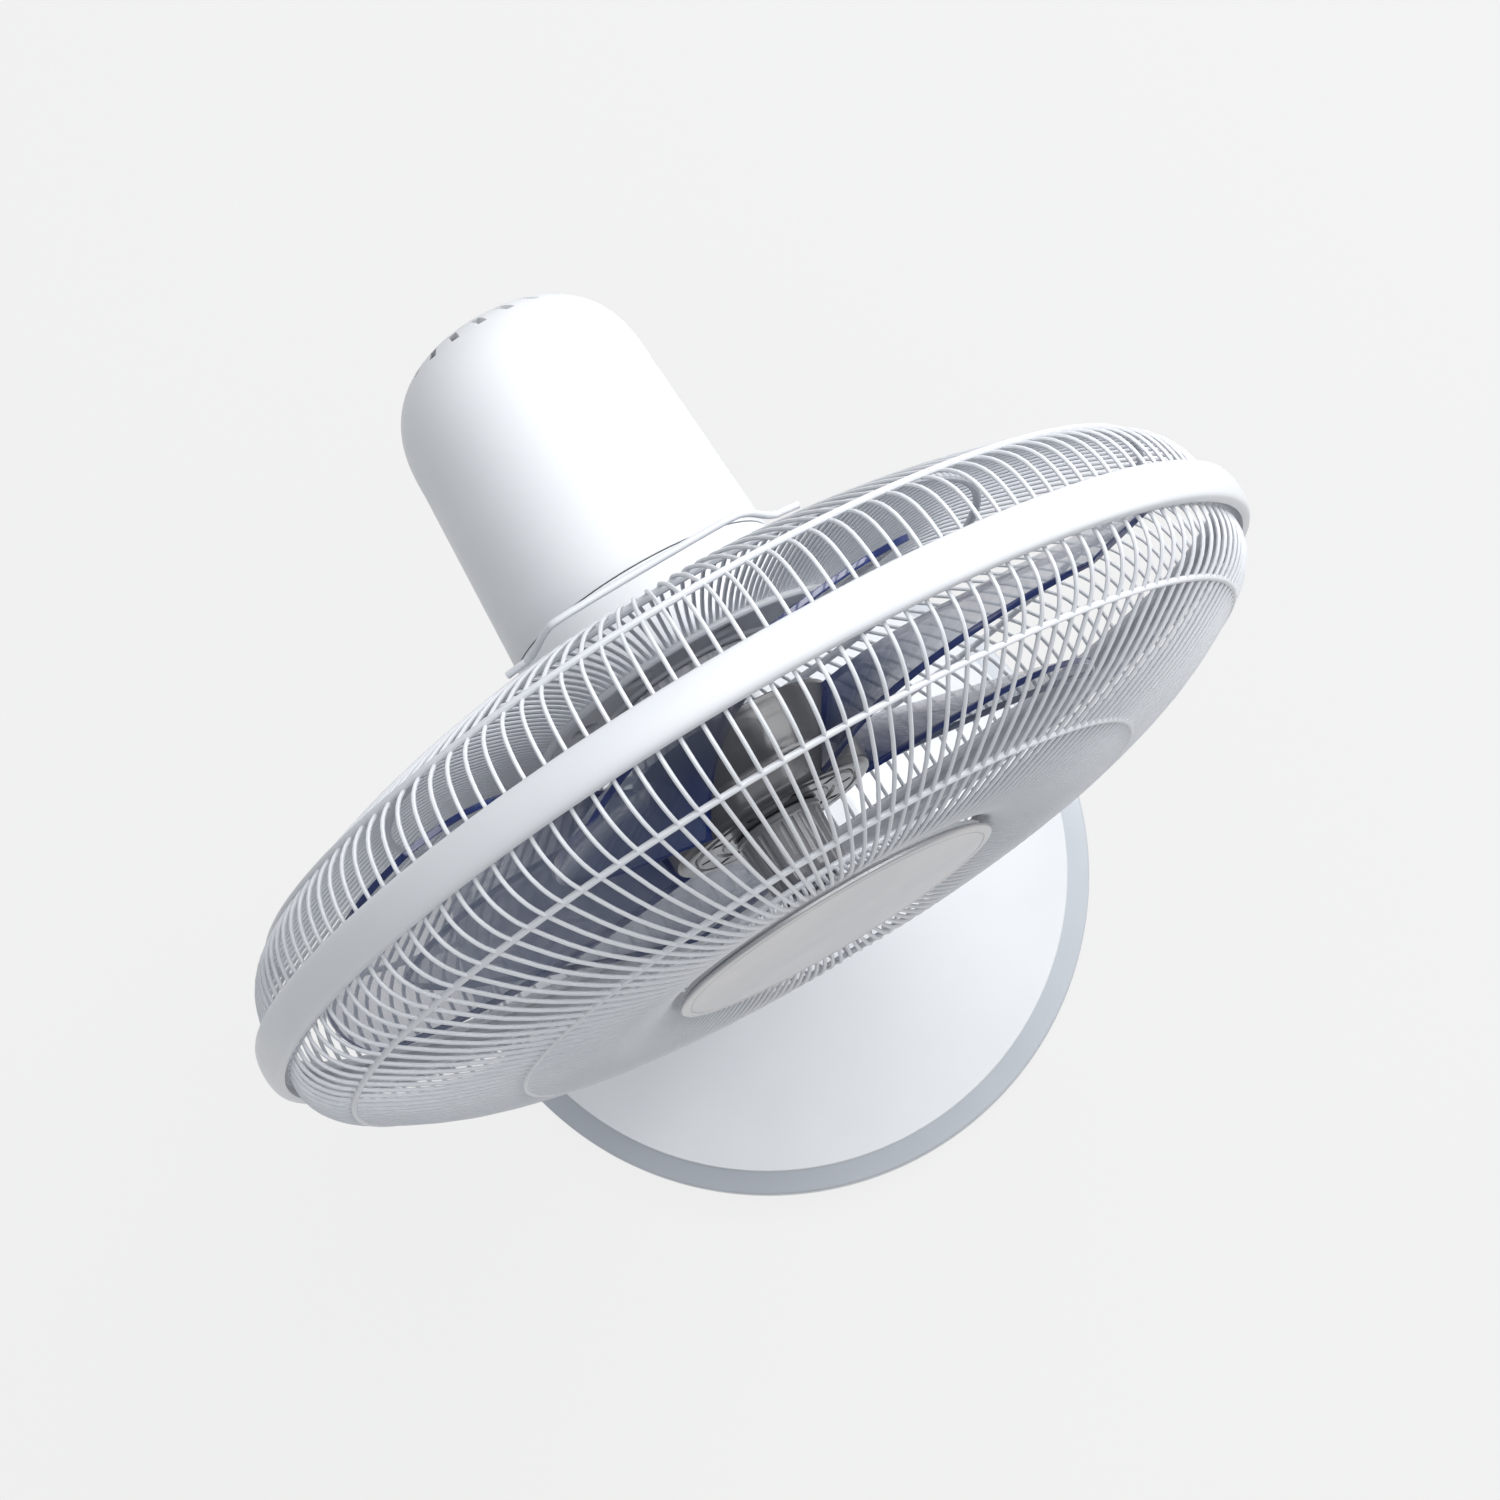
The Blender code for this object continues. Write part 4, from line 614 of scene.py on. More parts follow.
def makeCage(name, finish):
    cage = cages[name]
    bm = bmesh.new()
    points = [Vector((0, cage["way"] * d, r)) for r, d in cage["line"]]
    path = [hub + p for p in smoothLine(points, 3)]
    sweep(bm, path, cage["wire"], 8)
    faceOut(bm)
    half = Matrix.Rotation(math.pi / cage["count"], 3, "Y")
    bmesh.ops.rotate(bm, verts=bm.verts, cent=hub, matrix=half)
    share = math.tau / cage["count"]
    bmesh.ops.spin(bm, geom=bm.verts[:] + bm.edges[:] + bm.faces[:], cent=hub, axis=(0, 1, 0), dvec=(0, 0, 0),
                   angle=math.tau - share, steps=cage["count"] - 1, use_merge=False, use_duplicate=True)
    for radius, distance, thick in cage["rings"]:
        hoops = bmesh.new()
        hoop(hoops, radius, cage["way"] * distance, thick)
        faceOut(hoops)
        addTo(bm, hoops)
    finishPiece(name + "Guard", bm, finish, "head", (cage["node"],), recalc=False)
    print(name, "guard made with", cage["count"], "wires")


badge = {"radius": 0.0700, "front": 0.0600, "dome": 0.0011, "thick": 0.0030, "edge": 0.0009, "groove": 0.0655}
backing = {"radius": 0.0672, "gap": 0.0003, "thick": 0.0032, "floor": 0.0020, "rimIn": 0.0560, "boss": 0.0190}


def makeBadge(silver, white):
    r, front = badge["radius"], -badge["front"]
    profile = [(0.0, front)]
    for k in range(1, 13):
        out = (r - badge["edge"]) * k / 12
        profile.append((out, front + badge["dome"] * (out / r) ** 2))
        if k == 11:
            lip = badge["groove"]
            level = front + badge["dome"] * (lip / r) ** 2
            profile += [(lip, level), (lip + 0.0002, level + 0.00035), (lip + 0.0007, level + 0.00035),
                        (lip + 0.0009, level)]
    profile += arc((r - badge["edge"], front + badge["dome"] + badge["edge"]), badge["edge"], -70, 0, 5)
    profile += [(r, front + badge["thick"] - 0.0003), (r - 0.0004, front + badge["thick"]),
                (0.0, front + badge["thick"])]
    finishPiece("badgePlate", spun(profile, "Y", hub, 160, closed=False), silver, "head",
                ("badge_plate",))
    rear = front + badge["thick"] + backing["gap"]
    r, floorAt, end = backing["radius"], rear + backing["floor"], rear + backing["thick"]
    cup = [(0.0, rear), (r - 0.0012, rear), (r, rear + 0.0010), (r, end - 0.0006), (r - 0.0012, end),
           (backing["rimIn"], end), (backing["rimIn"] - 0.0010, floorAt), (backing["boss"] + 0.0010, floorAt),
           (backing["boss"], end), (0.0, end)]
    finishPiece("badgeBacking", spun(cup, "Y", hub, 120, closed=False), white, "head",
                ("badge_backing",))
    print("badge made")


mountPlate = {"inner": 0.0200, "holes": 8, "hole": 0.0060, "circle": 0.0500, "rib": 0.0012}
guardNut = {"radius": 0.0310, "length": 0.0060, "flutes": 18, "bore": 0.0199}


def makeMount(finish, white):
    low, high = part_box("guard_mount_plate")
    front, rear = low.y - hub.y, high.y - hub.y
    outer = high.x - 0.0002
    profile = [(mountPlate["inner"], front), (0.0340, front), (0.0350, front - mountPlate["rib"]),
               (0.0375, front - mountPlate["rib"]), (0.0385, front), (outer - 0.0050, front),
               (outer - 0.0040, front - mountPlate["rib"]), (outer - 0.0006, front - mountPlate["rib"]),
               (outer, front - mountPlate["rib"] * 0.4), (outer, rear), (mountPlate["inner"], rear)]
    bm = spun(profile, "Y", hub, 140)
    drills = bmesh.new()
    for k in range(mountPlate["holes"]):
        at = onHead(mountPlate["circle"], 360 * (k + 0.5) / mountPlate["holes"], front)
        cylinder(drills, mountPlate["hole"], at - Vector((0, 0.01, 0)), at + Vector((0, 0.01, 0)), 24)
    finishPiece("guardMountPlate", carved(bm, drills), finish, "head",
                ("guard_mount_plate",))
    low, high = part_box("rear_guard_nut")
    front, rear = low.y - hub.y, high.y - hub.y
    r = guardNut["radius"]
    profile = [(guardNut["bore"], front), (r - 0.0035, front), (r - 0.0012, front + 0.0008),
               (r, front + 0.0022), (r, rear - 0.0006), (r - 0.0005, rear), (guardNut["bore"], rear)]
    bm = spun(profile, "Y", hub, 144)
    notches = bmesh.new()
    for k in range(guardNut["flutes"]):
        at = onHead(r + 0.0012, 360 * k / guardNut["flutes"], front)
        cylinder(notches, 0.0026, at - Vector((0, 0.01, 0)), at + Vector((0, 0.02, 0)), 16)
    finishPiece("rearGuardNut", carved(bm, notches), white, "head", ("rear_guard_nut",))
    print("guard mount made")


handle = {"wire": 0.0014, "ring": 0.1345, "seat": 0.0632, "footTip": 0.0610, "footEnd": 0.0520,
          "leg": ((0.0488, 0.0634, 0.1284), (0.0443, 0.0640, 0.1376), (0.0408, 0.0642, 0.1440)),
          "bar": ((0.0355, 0.0643, 0.1479), (0.0150, 0.0643, 0.1493))}


def makeHandle(finish):
    side = []
    for k in range(5):
        x = handle["footTip"] + (handle["footEnd"] - handle["footTip"]) * k / 4
        side.append(Vector((x, handle["seat"], math.sqrt(handle["ring"] ** 2 - x ** 2))))
    side += [Vector(p) for p in handle["leg"] + handle["bar"]]
    points = side + [Vector((-p.x, p.y, p.z)) for p in side[::-1]]
    bm = bmesh.new()
    sweep(bm, [hub + p for p in smoothLine(points, 5)], handle["wire"], 14)
    finishPiece("carryHandle", bm, finish, "head", ("carry_handle",))
    print("handle made")


# motor housing

housing = {
    "front": 0.0560, "seam": 0.0910, "shoulder": 0.1740, "end": 0.2220,
    "frontRadius": 0.0590, "rearRadius": 0.0532, "wall": 0.0022, "edge": 0.0045, "power": 2.6,
    "vents": 20, "ventCircle": 0.0372, "ventLength": 0.0150, "ventWidth": 0.0030, "ventSwirl": 38,
}
neckOpening = {"halfWidth": 0.0125, "halfDepth": 0.018, "corner": 0.003}
coverScrew = {"head": 0.0038, "shank": 0.0018, "length": 0.0300, "recess": 0.0045, "bore": 0.0021}


def housingRadius(distance):
    fixed = housing
    if distance < fixed["shoulder"]:
        share = (distance - fixed["front"]) / (fixed["shoulder"] - fixed["front"])
        return fixed["frontRadius"] + (fixed["rearRadius"] - fixed["frontRadius"]) * share
    share = min(1, (distance - fixed["shoulder"]) / (fixed["end"] - fixed["shoulder"]))
    return fixed["rearRadius"] * (1 - share ** fixed["power"]) ** (1 / fixed["power"])


def makeFrontCover(white):
    front, seam, wall, edge = (housing[k] for k in ("front", "seam", "wall", "edge"))
    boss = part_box("motor_front_cover")[0].y - hub.y
    full = housingRadius(front + edge)
    profile = [(0.0165, boss), (0.0190, boss), (0.0195, boss + 0.0005)]
    for k in range(5):                            # thread turns for the guard nut
        at = boss + 0.0012 + k * 0.0014
        profile += [(0.0195, at), (0.0191, at + 0.0004), (0.0195, at + 0.0008)]
    profile += [(0.0195, front), (full - edge, front)]
    profile += arc((full - edge, front + edge), edge, -80, 0, 9)
    profile += [(housingRadius(seam) + 0.00005, seam - 0.0014), (housingRadius(seam) - 0.0007, seam - 0.0003),
                (housingRadius(seam) - wall, seam - 0.0003), (full - wall, front + edge),
                (full - edge, front + wall), (0.0165, front + wall)]
    finishPiece("motorFrontCover", spun(profile, "Y", hub, 128), white, "head",
                ("motor_front_cover",))


def makeRearCover(white, zinc):
    seam, shoulder, end, wall = (housing[k] for k in ("seam", "shoulder", "end", "wall"))
    seamRadius = housingRadius(seam)
    outer = [(seamRadius - 0.0007, seam + 0.0003), (seamRadius - 0.00005, seam + 0.0014)]
    outer += [(housingRadius(seam + (shoulder - seam) * k / 6), seam + (shoulder - seam) * k / 6)
              for k in range(1, 6)]
    inner = [(seamRadius - wall, seam + 0.0003), (housingRadius(shoulder) - wall, shoulder)]
    for k in range(26):
        at = shoulder + (end - shoulder) * math.sin(math.pi / 2 * k / 26)
        outer.append((housingRadius(at), at))
    for k in range(1, 12):
        at = shoulder + (end - shoulder) * math.sin(math.pi / 2 * k / 12)
        inner.append((housingRadius(at) * (1 - wall / housing["rearRadius"]),
                      shoulder + (at - shoulder) * (1 - wall / (end - shoulder))))
    outer.append((0.0, end))
    inner.append((0.0, end - wall))
    bm = spun(inner[::-1] + outer, "Y", hub, 128, closed=False)

    power = housing["power"]
    share = (1 - (housing["ventCircle"] / housing["rearRadius"]) ** power) ** (1 / power)
    at = shoulder + (end - shoulder) * share     # where the vents' circle meets the dome
    slope = math.atan2(0.002, housingRadius(at - 0.001) - housingRadius(at + 0.001))
    slots = bmesh.new()
    for k in range(housing["vents"]):
        wide, long = housing["ventWidth"] / 2, housing["ventLength"] / 2
        slot = newBlock((-wide, -0.004, -long), (wide, 0.004, long))
        rounded(slot, edgesAlong(slot, 1), wide * 0.95, 5)
        place = (Matrix.Translation(hub) @ Matrix.Rotation(math.tau * k / housing["vents"], 4, "Y")
                 @ Matrix.Translation((0, at, housing["ventCircle"])) @ Matrix.Rotation(-slope, 4, "X")
                 @ Matrix.Rotation(math.radians(housing["ventSwirl"]), 4, "Y"))
        bmesh.ops.transform(slot, matrix=place, verts=slot.verts)
        addTo(slots, slot)
    bm = carved(bm, slots)
    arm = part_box("tilt_arm")
    wide, deep = neckOpening["halfWidth"], neckOpening["halfDepth"]
    opening = newBlock((-wide, hinge.y - deep, arm[1].z - 0.04), (wide, hinge.y + deep, arm[1].z))
    rounded(opening, edgesAlong(opening, 2, 0.01), neckOpening["corner"], 4)
    bm = carved(bm, opening)
    recess = newCylinder(coverScrew["recess"], back(end - 0.0009), back(end + 0.01), 32)
    cylinder(recess, coverScrew["bore"], back(end - 0.01), back(end - 0.0005), 24)
    finishPiece("motorRearCover", carved(bm, recess), white, "head", ("motor_rear_cover",),
                sharp=38)
    wide, shank, tip = coverScrew["head"], coverScrew["shank"], -coverScrew["length"]
    head = [(0.0, 0.0), (wide - 0.0008, 0.0), (wide - 0.0002, -0.0002), (wide, -0.0006), (wide, -0.0010),
            (shank, -0.0010), (shank, tip), (0.0, tip)]
    screw = spun(head, "Y", back(end - 0.0001), 32, closed=False)
    cross = crossCut(back(end), 1, 0.0005, 0.0024, -0.0006, 0.002)
    finishPiece("rearCoverScrew", carved(screw, cross, crossing=True), zinc, "head",
                ("rear_cover_screw",))


# blades, hub and spinner

blade = {
    "count": 5, "phase": -10.0, "tip": 0.190, "root": 0.0425, "thick": 0.0026, "rim": 0.0008,
    "margin": 0.0016, "halfAngle": 21, "belly": 13, "widening": 3, "sweepStart": -6, "sweep": 20,
    "front": 0.012, "back": 0.022, "backBelly": 0.008, "camber": 0.004, "cornerCut": 0.055,
    "across": 26, "along": 34,
}
hubShape = {"radius": 0.0440, "wall": 0.0025, "front": 0.0120, "back": 0.0260, "sleeve": 0.0090,
            "sleeveBack": 0.0205, "bore": 0.0044, "ribs": 10, "slots": 10}
spinner = {"radius": 0.0185, "length": 0.030, "flutes": 24, "cut": 0.0016, "taper": 0.0014, "bore": 0.0044,
           "boreDepth": 0.0180}


def bladePoint(across, along, phase):
    # across runs from the trailing to the leading edge, along from the hub to the tip
    b = blade
    radius = b["root"] + (b["tip"] - b["root"]) * along
    belly = b["belly"] * math.sin(math.pi * along ** 0.9)
    half = math.radians(b["halfAngle"] + belly + b["widening"] * along)
    middle = math.radians(b["sweepStart"] + b["sweep"] * along)
    radius *= 1 - b["cornerCut"] * along ** 6 * abs(2 * across - 1) ** 3
    front = b["front"] - 0.002 * along
    deep = b["back"] + b["backBelly"] * math.sin(math.pi * along)
    depth = -front + (front + deep) * across + b["camber"] * math.sin(math.pi * across)
    a = math.radians(phase) + middle + half * (2 * across - 1)
    return hub + Vector((radius * math.sin(a), depth, radius * math.cos(a)))


def makeBlade(phase):
    bm = bmesh.new()
    wide, long = blade["across"], blade["along"]
    bmesh.ops.create_grid(bm, x_segments=wide, y_segments=long, size=0.5)
    rimMark = bm.verts.layers.int.new("rim")
    length = blade["tip"] - blade["root"]
    for v in bm.verts:
        across, along = v.co.x + 0.5, v.co.y + 0.5
        v[rimMark] = int(v.is_boundary)
        chord = 2 * math.radians(blade["halfAngle"] + blade["belly"]) * (blade["root"] + length * along)
        if abs(across - 0.5) < 0.499 and abs(abs(across - 0.5) - (0.5 - 1 / wide)) < 1e-4:
            across = math.copysign(0.5 - blade["margin"] / chord, across - 0.5) + 0.5
        if abs(along - (1 - 1 / long)) < 1e-4:
            along = 1 - blade["margin"] / length
        v.co = bladePoint(across, along, phase)
    for f in bm.faces:
        f.material_index = int(any(v[rimMark] for v in f.verts))
    bmesh.ops.recalc_face_normals(bm, faces=bm.faces)
    bmesh.ops.solidify(bm, geom=bm.faces[:], thickness=blade["thick"])
    rim = {f for f in bm.faces if all(v[rimMark] for v in f.verts)}
    for f in rim:
        f.material_index = 1
    edges = [e for e in bm.edges if len(e.link_faces) == 2 and sum(f in rim for f in e.link_faces) == 1]
    rounded(bm, edges, blade["rim"], 3, material=1, clamp=True)
    faceOut(bm)
    return bm


def makeBlades(finish, edge, smoke, spinnerSmoke):
    h = hubShape
    r, front, rear, wall = h["radius"], -h["front"], h["back"], h["wall"]
    profile = [(h["bore"], front), (0.0235, front), (0.0240, front + 0.0008), (0.0262, front + 0.0008),
               (0.0267, front), (0.0350, front), (0.0358, front + 0.0016), (0.0372, front + 0.0016),
               (0.0380, front + 0.0004)]
    profile += arc((r - 0.0030, front + 0.0030), 0.0028, -75, 0, 6)
    profile += [(r - 0.0002, 0.0010), (r, 0.0014), (r, 0.0034), (r - 0.0002, 0.0038),
                (r - 0.0002, rear - 0.0028), (r, rear - 0.0022), (r, rear - 0.0004),
                (r - 0.0004, rear), (r - wall, rear),
                (r - wall, front + wall + 0.0015), (r - wall - 0.0015, front + wall),
                (h["sleeve"], front + wall), (h["sleeve"], h["sleeveBack"] - 0.0005),
                (h["sleeve"] - 0.0005, h["sleeveBack"]), (h["bore"], h["sleeveBack"])]
    bm = spun(profile, "Y", hub, 120)
    slots = bmesh.new()
    for k in range(h["slots"]):
        wide = block(slots, (-0.0016, front - 0.01, 0.0278), (0.0016, front + 0.01, 0.0336))
        bmesh.ops.transform(slots, matrix=Matrix.Translation(hub) @ Matrix.Rotation(
            math.tau * (k + 0.5) / h["slots"], 4, "Y"), verts=wide)
    bm = carved(bm, slots)
    for k in range(h["ribs"]):
        rib = block(bm, (-0.0008, front + wall - 0.0005, h["sleeve"] - 0.0006),
                    (0.0008, rear - 0.006, r - wall + 0.0006))
        bmesh.ops.transform(bm, matrix=Matrix.Translation(hub) @ Matrix.Rotation(
            math.tau * k / h["ribs"], 4, "Y"), verts=rib)
    for f in bm.faces:
        f.material_index = 2
    for k in range(blade["count"]):
        addTo(bm, makeBlade(blade["phase"] + 360 * k / blade["count"]))
    finishPiece("fanBlades", bm, (finish, edge, smoke), "blades", ("fan_blade",), sharp=40,
                recalc=False)

    s = spinner
    start, tip = front - 0.0003, front - 0.0003 - s["length"]
    profile = [(s["bore"], start), (s["radius"] - 0.0008, start), (s["radius"], start - 0.0006),
               (s["radius"], start - 0.0022), (s["radius"] - 0.0006, start - 0.0030)]
    for k in (1, 2, 3):
        profile.append((s["radius"] - 0.0006 - s["taper"] * k / 3, start - 0.0030 - 0.0202 * k / 3))
    top = s["radius"] - 0.0006 - s["taper"]
    profile += arc((top - 0.0055, tip + 0.0055), 0.0055, 0, -80, 9)
    profile += [(0.0080, tip), (0.0074, tip + 0.0006), (0.0, tip + 0.0006), (0.0, start - s["boreDepth"]),
                (s["bore"], start - s["boreDepth"])]
    bm = spun(profile, "Y", hub, 96, closed=False)
    cuts = bmesh.new()
    for k in range(s["flutes"]):
        a = 360 * k / s["flutes"]
        cylinder(cuts, s["cut"], onHead(s["radius"] + 0.0002, a, start - 0.0040),
                 onHead(top + 0.0006, a, tip - 0.002), 12)
    finishPiece("spinnerNut", carved(bm, cuts), spinnerSmoke, "blades", ("spinner_nut",))
    print("blades, hub and spinner made")


# base

base = {"edge": 0.013, "band": 0.011, "slope": 0.0035, "step": 0.0012, "padRadius": 0.054,
        "padHeight": 0.034, "flare": 1.7, "wall": 0.0025, "wireHole": 0.008, "rim": 0.0016, "screws": 4,
        "screwCircle": 0.095, "screwHole": 0.0042}
foot = {"height": 0.0032, "radius": 0.010, "dish": 0.0006}


def basePoints(drop, count):
    radius, bottom = baseBox[1].x, baseBox[0].z
    top = bottom + base["edge"] - drop
    line = [(radius - drop, bottom), (radius - drop, bottom + 0.0030)]
    low = top - base["slope"]
    line += arc((radius - drop - base["rim"], low - base["rim"]), base["rim"], 0, 72, 7)
    start = radius - base["band"]
    line += [(start + 0.0006, top), (start, top + base["step"] * 0.35),
             (start - 0.0004, top + base["step"] * 0.9)]
    rise = bottom + base["edge"] + base["step"]
    for k in range(1, count + 1):
        share = k / count
        line.append((start - 0.0008 + (base["padRadius"] - start) * share,
                     rise + (base["padHeight"] - rise) * share ** base["flare"] - drop))
    return line


def makeBase(white, rim, grey, rubber):
    outer = basePoints(0.0, 24)
    outer += [(base["padRadius"] - 0.0012, base["padHeight"]), (base["wireHole"], base["padHeight"])]
    inner = basePoints(base["wall"], 14)
    inner.append((base["wireHole"], base["padHeight"] - base["wall"]))
    bm = spun(outer + inner[::-1], "Z", stand, 200)
    glandLow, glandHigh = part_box("cord_gland")
    middle = (glandLow + glandHigh) / 2
    middle.x = 0
    gap = glandHigh.x + 0.0003
    hole = newCylinder(gap, middle - Vector((0, 0.02, 0)), middle + Vector((0, 0.03, 0)), 48)
    holes = bmesh.new()
    for k in range(3):
        screwLow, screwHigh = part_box(f"column_screw_{k + 1}")
        at = (screwLow + screwHigh) / 2
        cylinder(holes, 0.0021, (at.x, at.y, 0.02), (at.x, at.y, 0.05), 24)
    bm = carved(carved(bm, hole), holes)
    # faces on the outer rim band take the second finish, a grey that paints shade onto the white plastic
    paintedShadeStart = baseBox[1].x - base["band"]
    for f in bm.faces:
        f.material_index = int((f.calc_center_median() - stand).xy.length > paintedShadeStart)
    finishPiece("baseShell", bm, (white, rim), "base", ("base_shell",), sharp=30)

    g = glandHigh.x
    lowY, highY = glandLow.y, glandHigh.y
    profile = [(0.0028, lowY - middle.y), (g - 0.0004, lowY - middle.y), (g, lowY - middle.y + 0.0004)]
    for k in range(3):
        at = lowY - middle.y + 0.0020 + 0.0018 * k
        profile += [(g, at), (g - 0.0006, at + 0.0003), (g - 0.0006, at + 0.0008), (g, at + 0.0011)]
    profile += [(g, highY - middle.y - 0.0006), (g - 0.0006, highY - middle.y), (0.0032, highY - middle.y),
                (0.0028, highY - middle.y - 0.0005)]
    finishPiece("cordGland", spun(profile, "Y", middle, 48), rubber, "base", ("cord_gland",))

    low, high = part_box("base_cover")
    radius, bottom, top = high.x, low.z, high.z
    profile = [(0.0, bottom), (0.0200, bottom), (0.0205, bottom + 0.0006), (0.0225, bottom + 0.0006),
               (0.0230, bottom)]
    for k in range(4):                            # shallow pressed rings
        at = 0.050 + 0.026 * k
        profile += [(at, bottom), (at + 0.0008, bottom + 0.0007), (at + 0.0035, bottom + 0.0007),
                    (at + 0.0043, bottom)]
    profile += [(radius - 0.0006, bottom), (radius, bottom + 0.0006), (radius, top), (0.0, top)]
    bm = spun(profile, "Z", stand, 160, closed=False)
    drills = bmesh.new()
    for k in range(base["screws"]):
        turn = Matrix.Rotation(math.tau * k / base["screws"], 3, "Z")
        at = stand + turn @ Vector((base["screwCircle"], 0, bottom))
        cylinder(drills, base["screwHole"], at - Vector((0, 0, 0.01)), at + Vector((0, 0, 0.0012)), 32)
    finishPiece("baseCover", carved(bm, drills), grey, "base", ("base_cover",))

    for k in range(4):
        low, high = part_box(f"foot_{k + 1}")
        middle = (low + high) / 2
        r, top = foot["radius"], high.z
        profile = [(0.0, foot["dish"]), (r * 0.55, foot["dish"]), (r * 0.60, 0.0), (r - 0.0010, 0.0),
                   (r - 0.0003, 0.0003), (r, 0.0010), (r, top), (0.0, top)]
        finishPiece(f"foot{k + 1}", spun(profile, "Z", (middle.x, middle.y, 0), 48, closed=False), rubber,
                    "base", (f"foot_{k + 1}",))
    print("base made")


# column, keys and panel

column = {"footBack": 0.020, "halfWidth": 0.033, "halfDepth": 0.030, "flare": 0.006, "flareHeight": 0.045,
          "squareness": 4.0, "wall": 0.0024, "seam": 0.00012, "sides": 128, "capEdge": 0.0012,
          "seamEdge": 0.0004}
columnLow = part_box("column_front_shell")[0].z
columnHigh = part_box("column_front_shell")[1].z
keys = {"names": ("off", "low", "medium", "high", "oscillate"), "width": 0.019, "height": 0.009,
        "pitch": 0.0135, "proud": 0.0045, "depth": 0.006, "slide": 0.0005, "first": 0.088,
        "panelWidth": 0.031, "panelThick": 0.002, "panelCorner": 0.004, "panelEdge": 0.0006, "margin": 0.006,
        "dish": 0.0006, "dishRadius": 0.030, "edge": 0.0010, "markRise": 0.0002, "markSink": 0.0003}


def columnMiddle(z):
    foot = stand.y + column["footBack"]
    return foot + (neck.y - foot) * (z - columnLow) / (columnHigh - columnLow)


def columnFlare(z):
    up = min(1.0, max(0.0, (z - columnLow) / column["flareHeight"]))
    return column["flare"] * (1 - up) ** 2


def columnPoint(x, y, z, inset=0.0):
    # a point of a plain tube of radius 1 carried to the squared, leaning, flared tube
    a = math.atan2(y, x)
    power = 2 / column["squareness"]
    c, s = math.cos(a), math.sin(a)
    wide = column["halfWidth"] + columnFlare(z) - inset
    deep = column["halfDepth"] + columnFlare(z) - inset
    return Vector((wide * math.copysign(abs(c) ** power, c),
                   columnMiddle(z) + deep * math.copysign(abs(s) ** power, s), z))


def columnTube(levels, inset=0.0, capped=False):
    bm = bmesh.new()
    bmesh.ops.create_circle(bm, segments=column["sides"], radius=1, cap_ends=False,
                            matrix=Matrix.Translation((0, 0, levels[0])))
    edges = bm.edges[:]
    if capped:
        bmesh.ops.contextual_create(bm, geom=edges)
    for below, above in zip(levels, levels[1:]):
        made = bmesh.ops.extrude_edge_only(bm, edges=edges)["geom"]
        ring = [g for g in made if isinstance(g, bmesh.types.BMVert)]
        bmesh.ops.translate(bm, verts=ring, vec=(0, 0, above - below))
        edges = [g for g in made if isinstance(g, bmesh.types.BMEdge) and all(v in ring for v in g.verts)]
    if capped:
        bmesh.ops.contextual_create(bm, geom=edges)
    for v in bm.verts:
        v.co = columnPoint(v.co.x, v.co.y, v.co.z, inset)
    return bm


def panelTurn():
    low, high = keys["first"], keys["first"] + 0.05
    run = (columnMiddle(high) - columnFlare(high)) - (columnMiddle(low) - columnFlare(low))
    up = Vector((0, run, high - low)).normalized()
    right = Vector((1, 0, 0))
    face = Vector((0, columnMiddle(low) - column["halfDepth"] - columnFlare(low), low))
    return Matrix.Translation(face) @ Matrix((right, up, right.cross(up))).transposed().to_4x4()


def onPanel(bm):
    bmesh.ops.transform(bm, matrix=panelTurn(), verts=bm.verts)
    return bm


def keyWindows(spare):
    cutter = bmesh.new()
    for k in range(len(keys["names"])):
        up = k * keys["pitch"]
        wide, tall = keys["width"] / 2 + spare, keys["height"] / 2 + spare
        block(cutter, (-wide, up - tall, -0.02), (wide, up + tall, 0.02))
    return onPanel(cutter)


def makeColumn(white):
    count = 14
    levels = [columnLow + column["flareHeight"] * k / 8 for k in range(9)]
    levels += [levels[-1] + (columnHigh - levels[-1]) * k / count for k in range(1, count + 1)]
    for name, side in (("columnRearShell", 1), ("columnFrontShell", -1)):
        bm = columnTube(levels)
        inner = columnTube(levels, column["wall"])
        for tube in (bm, inner):
            bmesh.ops.bisect_plane(tube, geom=tube.verts[:] + tube.edges[:] + tube.faces[:], dist=1e-7,
                                   plane_co=(0, columnMiddle(columnLow) + side * column["seam"], columnLow),
                                   plane_no=(0, -side * (columnHigh - columnLow),
                                             side * (neck.y - columnMiddle(columnLow))),
                                   clear_outer=True)
        addTo(bm, inner)
        bmesh.ops.bridge_loops(bm, edges=[e for e in bm.edges if e.is_boundary])
        upright = set(edgesAlong(bm, 2))
        rim = [e for e in sharpEdges(bm, 50) if e in upright]
        rounded(bm, rim, column["seamEdge"], 2, clamp=True)
        if side < 0:
            bm = carved(bm, keyWindows(keys["slide"]))
        node = "column_rear_shell" if side > 0 else "column_front_shell"
        finishPiece(name, bm, white, "base", (node,))
    low, high = (corner.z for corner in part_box("column_cap"))
    inset = column["wall"] + 0.0003
    bm = columnTube([low, high], inset, capped=True)
    rounded(bm, [e for e in bm.edges if min(v.co.z for v in e.verts) > high - 1e-5], column["capEdge"], 3)
    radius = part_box("neck_bush")[1].x + 0.0003
    seat = newCylinder(radius, (0, neck.y, low - 0.01), (0, neck.y, high + 0.01), 64)
    finishPiece("columnCap", carved(bm, seat), white, "base", ("column_cap",))
    print("column made")


